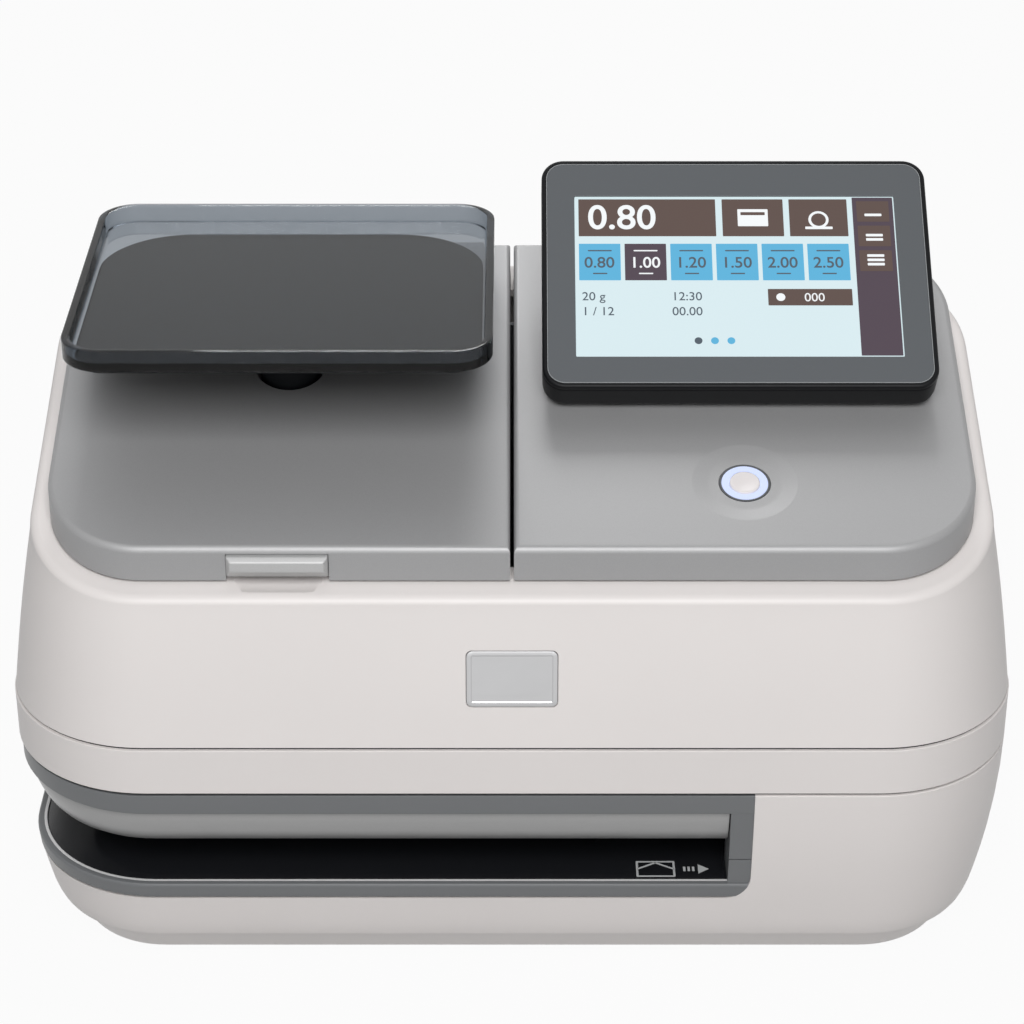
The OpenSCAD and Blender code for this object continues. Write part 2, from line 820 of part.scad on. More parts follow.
module load_cell() {
    y0 = tray_back - cell_half;
    y1 = tray_back + cell_half;
    x1 = tray_x - post_r - gap;
    color("silver")
        difference() {
            union() {
                block([cell_end_x, y0, cell_top_z - cell_h], [x1, y1, cell_top_z]);
                translate([cell_end_x, 0, 0])
                    rotate([90, 0, 90])
                        linear_extrude(18)
                            polygon([
                                [y0, cell_top_z - bite], [y1, cell_top_z - bite],
                                [y1, deck_z(y1) - cover_t], [y0, deck_z(y0) - cover_t]
                            ]);
            }
            // Bending holes through the bar
            for (x = [-9, -20])
                translate([x1 + x, y0 - 1, cell_top_z - cell_h / 2])
                    rotate([-90, 0, 0])
                        cylinder(r = 4, h = 2 * cell_half + 2);
        }
}

module scale_post() {
    color([0.16, 0.17, 0.18])
        union() {
            block([tray_x - post_r, tray_back - cell_half, cell_top_z - cell_h],
                  [tray_x + post_r, tray_back + cell_half, cell_top_z]);
            translate([tray_x, tray_back, cell_top_z - 1])
                cylinder(r = post_r, h = carrier_z - cell_top_z + 1);
            translate([tray_x, tray_back, carrier_z - 2])
                cylinder(r = post_r + 6, h = 2);
        }
}

// The plate lies under the whole floor of the tray, but for a strip at the back
module tray_carrier() {
    rim = tray_wall + gap;
    x = tray_w / 2 - rim;
    box = [tray_x - x, tray_x + x, tray_back - tray_d / 2 + rim, tray_back + tray_d / 2 - carrier_short];
    color([0.13, 0.14, 0.15])
        plate(box, [tray_r - rim, tray_r - rim, carrier_r, carrier_r], carrier_z, carrier_t);
}

tray_floor = 2;
module weighing_tray() {
    box = [tray_x - tray_w / 2, tray_x + tray_w / 2, tray_back - tray_d / 2, tray_back + tray_d / 2];
    color([0.2, 0.23, 0.26, 0.7])
        loft(box, [tray_r, tray_r, tray_r, tray_r], [
            [-1, tray_z, 0],
            [0, tray_z + 1, 0],
            [0, tray_top_z - 0.6, 0],
            [-0.6, tray_top_z, 0],
            [-tray_wall + 0.5, tray_top_z, 0],
            [-tray_wall, tray_top_z - 0.5, 0],
            [-tray_wall, tray_z + tray_floor, 0]
        ]);
}

// Right cover and power button

module right_cover() {
    dish_depth = 1;
    dish_sphere = (pow(button_dish_d / 2, 2) + pow(dish_depth, 2)) / (2 * dish_depth);
    color("darkgray")
        difference() {
            cover_shell([split_gap / 2, half_w, -half_d, half_d], [split_r, deck_r, deck_r, split_r]);
            on_deck(disp_right, -button_front) {
                cylinder(r = button_ring_d / 2 + fit, h = 20, center = true);
                translate([0, 0, dish_sphere - dish_depth])
                    sphere(r = dish_sphere);
            }
        }
}

ring_t = 0.8;
button_deep = cover_t * cos(deck_slope) + fit;
board_low = 10;
module button_bezel() {
    color([0.25, 0.26, 0.28])
        on_deck(disp_right, -button_front)
            difference() {
                union() {
                    translate([0, 0, -button_deep - 1])
                        cylinder(r = button_ring_d / 2, h = button_deep + 0.6);
                    translate([0, 0, -button_deep - 1.5])
                        cylinder(r = button_ring_d / 2 + 2.5, h = 1.5);
                    for (x = [-1, 1])
                        translate([x * (button_ring_d / 2 + 0.5), 0, -board_low])
                            cylinder(r = 1.8, h = board_low - button_deep - 1);
                }
                cylinder(r = button_ring_d / 2 - ring_t, h = 40, center = true);
            }
}

module light_ring() {
    color([0.8, 0.88, 1])
        on_deck(disp_right, -button_front)
            difference() {
                translate([0, 0, -button_deep - 1.5])
                    cylinder(r = button_ring_d / 2 - ring_t - fit, h = button_deep + 1.2);
                cylinder(r = button_cap_d / 2 + 0.3, h = 40, center = true);
            }
}

module button_cap() {
    color("snow")
        on_deck(disp_right, -button_front)
            translate([0, 0, -6])
                difference() {
                    cylinder(r = button_cap_d / 2, h = 6);
                    translate([0, 0, 6 + 29])
                        sphere(r = 29.4);
                }
}

module button_board() {
    color("darkgreen")
        on_deck(disp_right, -button_front) {
            translate([-14, -10, -board_low - 1.6])
                cube([28, 20, 1.6]);
            translate([-3, -3, -board_low - bite])
                cube([6, 6, board_low - 6 - button_travel - 0.3 + bite]);
        }
}

// Display

module display_brackets() {
    color([0.2, 0.21, 0.23])
        difference() {
            for (x = [disp_right - lug_x, disp_right + lug_x])
                hull() {
                    rod_x([x - lug_half, disp_hinge_y, disp_hinge_z], lug_r, 2 * lug_half, $fn = 32);
                    on_deck(x, disp_hinge_y)
                        translate([-lug_half, disp_lift * tan(deck_slope) - lug_foot_front, 0])
                            cube([2 * lug_half, lug_foot_front + lug_foot_back, 1.2]);
                }
            rod_x([disp_right - half_w, disp_hinge_y, disp_hinge_z], disp_pin_r + fit, deck_w);
        }
}

disp_box = [-disp_w / 2, disp_w / 2, -disp_low, disp_h - disp_low];
disp_radii = [disp_r, disp_r, disp_r, disp_r];
boss_half = lug_half + 9;
module display_back() {
    color([0.12, 0.13, 0.15])
        on_display()
            difference() {
                union() {
                    loft(disp_box, disp_radii, [
                        [-3.5, disp_back_z, 0],
                        [-1.8, disp_back_z + 0.5, 0],
                        [-0.5, disp_back_z + 1.8, 0],
                        [0, disp_back_z + 3.5, 0],
                        [0, disp_frame_z, 0],
                        [-disp_wall, disp_frame_z, 0],
                        [-disp_wall, disp_back_z + disp_wall, 0]
                    ]);
                    for (x = [-lug_x, lug_x])
                        block([x - boss_half, -disp_low + 1.2, disp_back_z + 1.2],
                              [x + boss_half, 9, disp_frame_z - 1.8]);
                }
                for (x = [-lug_x, lug_x]) {
                    block([x - lug_half - gap, -disp_low + disp_wall, disp_back_z - 5],
                          [x + lug_half + gap, 6, lug_r + gap]);
                    rod_x([x - boss_half + 1, 0, 0], disp_pin_r + fit, 2 * boss_half - 2);
                }
            }
}

module display_pins() {
    color("silver")
        on_display()
            for (x = [-lug_x, lug_x])
                rod_x([x - boss_half + 1.2, 0, 0], disp_pin_r, 2 * boss_half - 2.4);
}

screen_mid = disp_h / 2 - disp_low + screen_shift;
module screen_box(grow, z0, z1) {
    w = screen_w / 2 + grow;
    h = screen_h / 2 + grow;
    block([-w, screen_mid - h, z0], [w, screen_mid + h, z1]);
}

module display_front() {
    color([0.33, 0.34, 0.35])
        on_display()
            difference() {
                loft(disp_box, disp_radii, [
                    [0, disp_frame_z, 0],
                    [0, disp_face - 0.9, 0],
                    [-0.25, disp_face - 0.25, 0],
                    [-0.9, disp_face, 0]
                ]);
                screen_box(0, 0, 20);
            }
}

glass_t = 1.4;
module screen_glass() {
    color([0.75, 0.9, 0.95])
        on_display()
            screen_box(-0.1, disp_face - 0.3 - glass_t, disp_face - 0.3);
}

module lcd_panel() {
    color("gray")
        on_display()
            screen_box(1, disp_frame_z - 1.7, disp_frame_z);
}

// Print unit

module front_rail() {
    color("lightsteelblue")
        difference() {
            block([rod_x[0] - 8, rail_y - rail_t, deck_top_z], [rod_x[1] + 8, rail_y, rod_z + 8]);
            rod_y([rod_x[1], rail_y - rail_t - 1, screw_z], screw_r + fit, rail_t + 2);
        }
}

module guide_rods() {
    color("silver")
        for (x = rod_x)
            rod_y([x, rail_y, rod_z], rod_r, back_y - rail_y);
}

nozzle_w = 12;
nozzle_d = 22;
module print_carriage() {
    x0 = ink_mid_x - carriage_half;
    x1 = ink_mid_x + carriage_half;
    y1 = carriage_y + carriage_len;
    top = carriage_z + carriage_h;
    post_x = [x0, ink_mid_x - 2, x1 - 4];
    color([0.25, 0.26, 0.3])
        difference() {
            union() {
                block([x0, carriage_y, carriage_z], [x1, y1, top]);
                block([x0 - ear_w, carriage_y + 6, carriage_z + 2], [x0 + bite, y1 - 6, rod_z + rod_r + 4]);
                block([x1 - bite, carriage_y + 6, carriage_z + 0.5], [x1 + ear_w, y1 - 6, rod_z + rod_r + 4]);
                for (x = post_x)
                    block([x, latch_y - 4, top - bite], [x + 4, latch_y + 4, latch_z + 4]);
            }
            for (x = ink_x) {
                block([x - ink_w / 2 - gap / 2, carriage_y + carriage_wall, ink_z],
                      [x + ink_w / 2 + gap / 2, carriage_y + carriage_wall + ink_d + gap, far]);
                translate([x, carriage_y + carriage_len / 2, 0])
                    cube([nozzle_w + 1, nozzle_d + 1, far], center = true);
            }
            for (x = rod_x)
                rod_y([x, carriage_y, rod_z], rod_r + fit, carriage_len);
            rod_y([rod_x[1], carriage_y, screw_z], screw_r + fit, carriage_len);
            rod_x([x0 - 1, latch_y, latch_z], latch_pin_r + fit, x1 - x0 + 2);
        }
    color("silver")
        rod_x([x0 + 0.5, latch_y, latch_z], latch_pin_r, x1 - x0 - 1);
}

module ink_cartridge(i) {
    x = ink_x[i];
    y = carriage_y + carriage_wall + gap / 2;
    union() {
        block([x - ink_w / 2, y, ink_z], [x + ink_w / 2, y + ink_d, ink_top_z]);
        block([x - nozzle_w / 2, carriage_y + carriage_len / 2 - nozzle_d / 2, nozzle_z],
              [x + nozzle_w / 2, carriage_y + carriage_len / 2 + nozzle_d / 2, ink_z + bite]);
    }
}

module ink_cartridge_left() {
    color([0.15, 0.2, 0.45])
        ink_cartridge(0);
}

module ink_cartridge_right() {
    color([0.15, 0.2, 0.45])
        ink_cartridge(1);
}

module latch(i) {
    w = ink_w - 1;
    x = ink_x[i] - w / 2;
    difference() {
        union() {
            rod_x([x, latch_y, latch_z], latch_eye_r, w);
            block([x, carriage_y - 2, latch_z - 3.5], [x + w, latch_y, latch_z - 0.5]);
            block([x, carriage_y - 5, latch_z - 3.5], [x + w, carriage_y - 1.5, latch_z + 3]);
        }
        rod_x([x - 1, latch_y, latch_z], latch_pin_r + fit, w + 2);
    }
}

module latch_left() {
    color("seagreen")
        latch(0);
}

module latch_right() {
    color("seagreen")
        latch(1);
}

module carriage_screw() {
    color("silver")
        rod_y([rod_x[1], rail_y - rail_t, screw_z], screw_r, back_y + sheet_t + 6 - rail_y + rail_t);
}

module carriage_motor() {
    color("dimgray")
        difference() {
            rod_y([rod_x[1], back_y + sheet_t, screw_z], 10, 14);
            rod_y([rod_x[1], back_y + sheet_t - 1, screw_z], screw_r + fit, 8);
        }
}

module capping_station() {
    y = carriage_y + carriage_len / 2 + carriage_travel;
    color("black")
        for (x = ink_x)
            block([x - nozzle_w / 2 - 2, y - nozzle_d / 2, deck_top_z],
                  [x + nozzle_w / 2 + 2, y + nozzle_d / 2, nozzle_z - 0.4]);
}

// Letter drive

feed_ends = [-61, back_y - 1];
module feed_shaft() {
    color("silver")
        rod_y([feed_right, feed_ends[0], feed_z], feed_shaft_r, feed_ends[1] - feed_ends[0]);
}

module feed_rollers() {
    color("black")
        for (y = roller_y)
            difference() {
                rod_y([feed_right, y - roller_w / 2, feed_z], feed_r, roller_w);
                rod_y([feed_right, y - roller_w, feed_z], feed_shaft_r + 0.02, 2 * roller_w);
            }
}

module feed_pulley() {
    color("gray")
        difference() {
            union() {
                rod_y([feed_right, pulley_y, feed_z], feed_pulley_r, pulley_w);
                for (y = [pulley_y, pulley_y + pulley_w - 0.8])
                    rod_y([feed_right, y, feed_z], feed_pulley_r + 1.2, 0.8);
            }
            rod_y([feed_right, pulley_y - 1, feed_z], feed_shaft_r + 0.02, pulley_w + 2);
        }
}

module feed_bearings() {
    color("goldenrod")
        for (y = [feed_ends[0], back_y - 8])
            difference() {
                block([feed_right - 9, y, deck_top_z], [feed_right + 9, y + 8, feed_z + feed_shaft_r + 4]);
                rod_y([feed_right, y - 1, feed_z], feed_shaft_r + fit, 10);
            }
}

module drive_motor() {
    color("dimgray")
        difference() {
            union() {
                rod_y([motor_x, motor_face_y - motor_len, motor_z], motor_r, motor_len);
                rod_y([motor_x, motor_face_y - motor_len - 4, motor_z], 6, 5);
            }
            rod_y([motor_x, motor_face_y - 12, motor_z], motor_shaft_r + fit, 20);
        }
}

module motor_pulley() {
    color("gray")
        union() {
            rod_y([motor_x, motor_face_y - 11, motor_z], motor_shaft_r, pulley_y - motor_face_y + 12);
            rod_y([motor_x, pulley_y, motor_z], motor_pulley_r, pulley_w);
            for (y = [pulley_y, pulley_y + pulley_w - 0.8])
                rod_y([motor_x, y, motor_z], motor_pulley_r + 1.2, 0.8);
        }
}

// Loop round both pulleys, grown by d
module belt_loop(d) {
    hull() {
        translate([feed_right, feed_z])
            circle(r = feed_pulley_r + d);
        translate([motor_x, motor_z])
            circle(r = motor_pulley_r + d);
    }
}

module drive_belt() {
    color("black")
        translate([0, pulley_y + (pulley_w + belt_w) / 2, 0])
            rotate([90, 0, 0])
                linear_extrude(belt_w)
                    difference() {
                        belt_loop(0.3 + belt_t);
                        belt_loop(0.3);
                    }
}

arm_pivot_x = feed_right + arm_pivot_dx;
module pressure_bracket() {
    upright_t = 4;
    y0 = arm_y[0] - arm_t / 2 - gap - upright_t;
    y1 = arm_y[1] + arm_t / 2 + gap;
    color("lightsteelblue")
        for (y = [y0, y1])
            difference() {
                block([arm_pivot_x - 6, y, floor_z], [arm_pivot_x + 6, y + upright_t, arm_pivot_z + 6]);
                rod_y([arm_pivot_x, y - 1, arm_pivot_z], arm_pin_r + fit, upright_t + 2);
            }
    color("silver")
        rod_y([arm_pivot_x, y0, arm_pivot_z], arm_pin_r, y1 + upright_t - y0);
}

module pressure_arm() {
    color("gray")
        difference() {
            union() {
                for (y = arm_y)
                    hull() {
                        rod_y([arm_pivot_x, y - arm_t / 2, arm_pivot_z], arm_pin_r + 3, arm_t, $fn = 32);
                        rod_y([feed_right, y - arm_t / 2, press_z], axle_r + 1.4, arm_t, $fn = 32);
                    }
                // Tie plate that the springs push on
                block([arm_pivot_x - 19, arm_y[0], arm_pivot_z - 1.5],
                      [arm_pivot_x - 9, arm_y[1], arm_pivot_z + 0.5]);
                rod_y([feed_right, arm_y[0], press_z], axle_r, arm_y[1] - arm_y[0]);
            }
            rod_y([arm_pivot_x, arm_y[0] - 9, arm_pivot_z], arm_pin_r + fit, arm_y[1] - arm_y[0] + 18);
        }
}

module pressure_rollers() {
    color("black")
        for (y = roller_y)
            difference() {
                rod_y([feed_right, y - roller_w / 2, press_z], press_r, roller_w);
                rod_y([feed_right, y - roller_w, press_z], axle_r + fit, 2 * roller_w);
            }
}

// Coil springs between the base plate and the arm's tie plate
spring_z = [floor_z + spring_wire, arm_pivot_z - 1.5 - gap - spring_wire];
spring_rings = 8;
spring_sides = 6;
function spring_point(i) =
    let (a = 360 * i / spring_rings)
    let (share = i / (spring_rings * spring_turns))
    [spring_r * cos(a), spring_r * sin(a), spring_z[0] + share * (spring_z[1] - spring_z[0])];
module spring() {
    n = spring_rings * spring_turns + 1;
    m = spring_sides;
    points = [
        for (i = [0:n - 1], j = [0:m - 1])
            let (p = spring_point(i), a = 360 * i / spring_rings, b = 360 * j / m)
            p + spring_wire * [cos(b) * cos(a), cos(b) * sin(a), sin(b)]
    ];
    caps = [[for (j = [0:m - 1]) j], [for (j = [m - 1:-1:0]) (n - 1) * m + j]];
    sides = [
        for (i = [0:n - 2], j = [0:m - 1])
            let (k = (j + 1) % m)
            let (a = i * m + j, b = i * m + k, c = (i + 1) * m + k, e = (i + 1) * m + j)
            each [[a, e, c], [a, c, b]]
    ];
    polyhedron(points, concat(sides, caps));
}

module pressure_springs() {
    color("silver")
        for (y = [arm_y[0] + 10, arm_y[1] - 10])
            translate([arm_pivot_x - 14, y, 0])
                spring();
}

// Electronics

standoff_h = 4;
board_y = [-half_d + 20.5, back_y - 16];
board_z = [25, 110];
board_holes_y = [board_y[0] + 6, board_y[1] - 6];
board_holes_z = [board_z[0] + 6, board_z[1] - 6];
board_x = right_x + sheet_t + standoff_h;
board_t = 1.6;
module main_board() {
    color("darkgreen")
        union() {
            block([board_x, board_y[0], board_z[0]], [board_x + board_t, board_y[1], board_z[1]]);
            for (p = [[board_y[0] + 16, 80], [board_y[0] + 16, 45],
                      [board_y[1] - 16, 44], [board_y[1] - 14, 84]])
                block([board_x + board_t - bite, p[0] - 8, p[1] - 8],
                      [board_x + board_t + 2.4, p[0] + 8, p[1] + 8]);
        }
}

module_t = 12;
module security_module() {
    color("slategray")
        block([board_x + board_t, board_y[0] + 32, board_z[0] + 35],
              [board_x + board_t + module_t, board_y[1] - 28, board_z[0] + 73]);
}

supply_h = 14.5;
module power_supply() {
    color("gray")
        block([right_x + 22, -foot_y - 1.5, floor_z],
              [half_w - 5.8, back_y - 22, floor_z + supply_h]);
}

// Rear connectors

inlet_x = [panel_x[0] + 8, panel_x[0] + 22];
usb_x = [panel_x[0] + 28, panel_x[0] + 36];
lan_x = [panel_x[0] + 42, panel_x[0] + 56];
port_z = [panel_z[0] + 6, panel_z[0] + 22];
module connector_panel() {
    y1 = panel_y + sheet_t;
    color([0.2, 0.2, 0.22])
        difference() {
            union() {
                block([panel_x[0], panel_y, panel_z[0]], [panel_x[1], y1, panel_z[1]]);
                block([panel_x[0], back_y + sheet_t, panel_z[0]],
                      [right_x + sheet_t, y1, panel_z[0] + sheet_t]);
            }
            for (x = [inlet_x, usb_x, lan_x])
                block([x[0] - 0.1, panel_y - 1, port_z[0] - 0.1], [x[1] + 0.1, y1 + 1, port_z[1] + 0.1]);
        }
}

// Body of a socket behind the panel, with a shoulder against the panel's inner face
module port_body(x) {
    block([x[0], panel_y - 11, port_z[0]], [x[1], panel_y + sheet_t, port_z[1]]);
    block([x[0] - 1.5, panel_y - 11, port_z[0] - 1.5], [x[1] + 1.5, panel_y, port_z[1] + 1.5]);
}

module power_inlet() {
    x = (inlet_x[0] + inlet_x[1]) / 2;
    z = (port_z[0] + port_z[1]) / 2;
    color([0.08, 0.08, 0.09])
        union() {
            difference() {
                port_body(inlet_x);
                rod_y([x, panel_y - 8, z], 3.3, 20);
            }
            rod_y([x, panel_y - 9, z], 1, 8);
        }
}

module data_ports() {
    wall = 1;
    mouth = panel_y + sheet_t;
    color("silver") {
        // Upright serial socket with its tongue
        difference() {
            port_body(usb_x);
            block([usb_x[0] + wall, panel_y - 8, port_z[0] + wall],
                  [usb_x[1] - wall, mouth + 1, port_z[1] - wall]);
        }
        block([usb_x[0] + 3.1, panel_y - 8 - bite, port_z[0] + 2.5],
              [usb_x[0] + 4.9, mouth - 1, port_z[1] - 2.5]);
        // Network socket
        difference() {
            port_body(lan_x);
            block([lan_x[0] + wall, panel_y - 8, port_z[0] + 3],
                  [lan_x[1] - wall, mouth + 1, port_z[1] - 3]);
        }
    }
}

base_shell();
base_plate();
rubber_feet();
base_screws();
mid_band();
upper_casing();
badge_plate();
upper_bezel();
lower_bezel();
guide_lip();
letter_table();
letter_stops();
chassis();
print_deck();
lid_cover();
lid_grip();
lid_hinge_pins();
load_cell();
scale_post();
tray_carrier();
weighing_tray();
right_cover();
button_bezel();
light_ring();
button_cap();
button_board();
display_brackets();
display_back();
display_front();
screen_glass();
lcd_panel();
display_pins();
front_rail();
guide_rods();
print_carriage();
ink_cartridge_left();
ink_cartridge_right();
latch_left();
latch_right();
carriage_screw();
carriage_motor();
capping_station();
feed_shaft();
feed_rollers();
feed_pulley();
feed_bearings();
drive_motor();
motor_pulley();
drive_belt();
pressure_bracket();
pressure_arm();
pressure_rollers();
pressure_springs();
main_board();
security_module();
power_supply();
connector_panel();
power_inlet();
data_ports();
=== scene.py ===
"""Dresses the postage meter: casing, covers, letter slot, scale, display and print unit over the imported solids."""

import json
import logging
import math
from collections.abc import Callable, Iterable, Sequence
from dataclasses import dataclass, field
from enum import Enum

import bmesh
import bpy
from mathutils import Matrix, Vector


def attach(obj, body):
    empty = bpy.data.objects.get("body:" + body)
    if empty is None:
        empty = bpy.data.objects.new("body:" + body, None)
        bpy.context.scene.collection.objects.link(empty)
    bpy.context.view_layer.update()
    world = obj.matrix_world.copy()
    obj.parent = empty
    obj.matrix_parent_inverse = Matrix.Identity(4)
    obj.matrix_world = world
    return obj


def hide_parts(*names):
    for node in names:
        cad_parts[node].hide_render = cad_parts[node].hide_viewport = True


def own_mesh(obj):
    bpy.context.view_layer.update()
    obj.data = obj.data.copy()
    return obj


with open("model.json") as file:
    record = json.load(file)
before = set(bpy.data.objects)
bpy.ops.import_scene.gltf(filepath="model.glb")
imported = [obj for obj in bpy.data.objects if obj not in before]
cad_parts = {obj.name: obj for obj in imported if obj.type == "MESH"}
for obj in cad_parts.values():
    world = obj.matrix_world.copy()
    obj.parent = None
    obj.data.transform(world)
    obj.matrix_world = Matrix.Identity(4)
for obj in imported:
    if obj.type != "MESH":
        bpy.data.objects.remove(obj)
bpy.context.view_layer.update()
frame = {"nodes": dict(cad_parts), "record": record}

LOG = logging.getLogger("meter")

Point = tuple[float, float, float]

MM = 0.001

# Deck and casing sizes in millimetres
HALF_W = 149.8
HALF_D = 70.5
DECK_R = 32.0
DECK_Z = 159.8
SLOPE = math.radians(17.0)
RIM_W = 6.2
RIM_Z = 147.0
BELLY = 15.2
SEAM_LOW = 76.5
SEAM_HIGH = 94.0

# The belly's curve, and how far the upper wall leans in and bows out
BELLY_CURVE = 0.0018
WALL_LEAN = 8.7
WALL_BOW = 0.5

# The post of the letter slot's mouth, and the middle of the power button
SLOT_POST_X = 79.0
SLOT_POST_Y = 17.5
BUTTON_X = 75.0
BUTTON_Y = -42.2

# A cutter's reach past the machine, and the least step that counts as an inset
FAR = 400.0
LEAST_INSET = 0.0005


def deck_z(y: float) -> float:
    """Height of the deck's surface at a depth, in mm."""
    return DECK_Z + (y + HALF_D) * math.tan(SLOPE)


def base_out(z: float) -> float:
    """How far the base stands outside the deck's outline at a height, in mm."""
    return BELLY - BELLY_CURVE * (SEAM_LOW - z) ** 2


def upper_out(t: float) -> float:
    """How far the upper wall stands outside the outline at a share of its height, in mm."""
    return RIM_W + WALL_LEAN * (1.0 - t) + WALL_BOW * math.sin(math.pi * t)


def srgb(code: str) -> tuple[float, float, float, float]:
    """Linear colour of a six-digit screen colour.

    Args:
        code: The colour as #RRGGBB.

    Returns:
        Red, green, blue and alpha.
    """
    parts = [int(code[i : i + 2], 16) / 255.0 for i in (1, 3, 5)]
    linear = [c / 12.92 if c <= 0.04045 else ((c + 0.055) / 1.055) ** 2.4 for c in parts]
    return (linear[0], linear[1], linear[2], 1.0)


class Value:
    """A shader socket that plain arithmetic works on."""

    def __init__(self, sheet: "Sheet", socket: bpy.types.NodeSocket) -> None:
        """Wraps a socket of a sheet."""
        self.sheet = sheet
        self.socket = socket

    def math(self, operation: str, *others: "Value | float") -> "Value":
        """The result of a Math node on this socket and others."""
        inputs = {i: other for i, other in enumerate((self, *others))}
        return self.sheet.node("ShaderNodeMath", {"operation": operation}, inputs)

    def __add__(self, other: "Value | float") -> "Value":
        """Sum."""
        return self.math("ADD", other)

    def __mul__(self, other: "Value | float") -> "Value":
        """Product."""
        return self.math("MULTIPLY", other)

    def __sub__(self, other: "Value | float") -> "Value":
        """Difference."""
        return self.math("SUBTRACT", other)

    def __rsub__(self, other: float) -> "Value":
        """What is left of a number, as in 1 - mask."""
        return self.sheet.node("ShaderNodeMath", {"operation": "SUBTRACT"}, {0: other, 1: self})

    def __truediv__(self, other: "Value | float") -> "Value":
        """Quotient."""
        return self.math("DIVIDE", other)

    def __gt__(self, other: "Value | float") -> "Value":
        """1 where it is greater, and 0 elsewhere."""
        return self.math("GREATER_THAN", other)

    __radd__ = __add__
    __rmul__ = __mul__


class Sheet:
    """The node tree of one material."""

    def __init__(self, name: str) -> None:
        """Starts an empty tree with Object coordinates."""
        self.material = bpy.data.materials.new(name)
        self.material.use_nodes = True
        self.tree = self.material.node_tree
        self.tree.nodes.clear()
        self.place = self.node("ShaderNodeTexCoord", out="Object")

    def node(
        self,
        kind: str,
        settings: dict[str, object] | None = None,
        inputs: dict[str | int, object] | None = None,
        out: str | int = 0,
    ) -> Value:
        """Makes a node.

        Args:
            kind: The node's type.
            settings: Its own settings, which are set first.
            inputs: Values or links for its sockets.
            out: The output to go on with.

        Returns:
            That output.
        """
        made = self.tree.nodes.new(kind)
        for key, value in (settings or {}).items():
            setattr(made, key, value)
        for key, value in (inputs or {}).items():
            if isinstance(value, Value):
                self.tree.links.new(value.socket, made.inputs[key])
            else:
                made.inputs[key].default_value = value
        return Value(self, made.outputs[out])

    def stretched(self, stretch: Point) -> Value:
        """Object coordinates multiplied along each axis."""
        settings = {"operation": "MULTIPLY"}
        return self.node("ShaderNodeVectorMath", settings, {0: self.place, 1: stretch})

    def noise(self, size: float, detail: float = 2.0, stretch: Point = (1.0, 1.0, 1.0)) -> Value:
        """Noise from 0 to 1 whose patches are about this many millimetres wide."""
        inputs = {"Vector": self.stretched(stretch), "Scale": 1.0 / (size * MM), "Detail": detail}
        return self.node("ShaderNodeTexNoise", None, inputs)

    def cells(self, size: float, out: str = "Distance") -> Value:
        """Voronoi cells about this many millimetres wide."""
        inputs = {"Vector": self.place, "Scale": 1.0 / (size * MM)}
        return self.node("ShaderNodeTexVoronoi", None, inputs, out)

    def mix(self, first: object, second: object, factor: Value | float) -> Value:
        """A colour between two others."""
        inputs = {0: factor, 6: first, 7: second}
        return self.node("ShaderNodeMix", {"data_type": "RGBA"}, inputs, 2)

    def bump(self, height: Value, depth: float, strength: float = 1.0) -> Value:
        """A normal from a height of this many millimetres."""
        inputs = {"Height": height, "Distance": depth * MM, "Strength": strength}
        return self.node("ShaderNodeBump", None, inputs)

    def surface(self, inputs: dict[str | int, object]) -> bpy.types.Material:
        """Closes the tree with a Principled shader and gives the material."""
        self.output(self.node("ShaderNodeBsdfPrincipled", None, inputs))
        return self.material

    def output(self, shader: Value, inside: Value | None = None) -> None:
        """Links a shader, and what fills the piece, to the material's output."""
        end = self.tree.nodes.new("ShaderNodeOutputMaterial")
        self.tree.links.new(shader.socket, end.inputs["Surface"])
        if inside:
            self.tree.links.new(inside.socket, end.inputs["Volume"])


@dataclass(frozen=True)
class Finish:
    """A finish, made into a material once."""

    name: str
    colour: str

    def material(self) -> bpy.types.Material:
        """The material of this finish."""
        if self not in MADE:
            MADE[self] = self.mixed(Sheet(f"finish_{self.name}"))
        return MADE[self]

    def mixed(self, sheet: Sheet) -> bpy.types.Material:
        """Builds the nodes."""
        raise NotImplementedError

    def wandering(self, sheet: Sheet, patch: float, share: float) -> Value:
        """The colour with slow lighter and darker patches."""
        red, green, blue, _ = srgb(self.colour)
        low = (red * (1 - share), green * (1 - share), blue * (1 - share), 1.0)
        high = (min(red * (1 + share), 1.0), min(green * (1 + share), 1.0), min(blue * (1 + share), 1.0), 1.0)
        return sheet.mix(low, high, sheet.noise(patch, 3.0))


MADE: dict[Finish, bpy.types.Material] = {}


@dataclass(frozen=True)
class Moulding(Finish):
    """Moulded plastic: a tint that wanders, a spark-eroded grain and a sheen that varies with it."""

    roughness: float = 0.42
    grain: float = 0.5
    relief: float = 0.012
    coat: float = 0.0
    shine: float = 0.5

    def mixed(self, sheet: Sheet) -> bpy.types.Material:
        """Grain from fine noise over a coarser one."""
        fine = sheet.noise(self.grain, 2.0)
        coarse = sheet.noise(self.grain * 4.0, 1.0)
        height = fine * 0.7 + coarse * 0.3
        return sheet.surface(
            {
                "Base Color": self.wandering(sheet, 60.0, 0.02),
                "Roughness": height * 0.16 + (self.roughness - 0.08),
                "Specular IOR Level": self.shine,
                "Coat Weight": self.coat,
                "Coat Roughness": 0.2,
                "Normal": sheet.bump(height, self.relief),
            }
        )


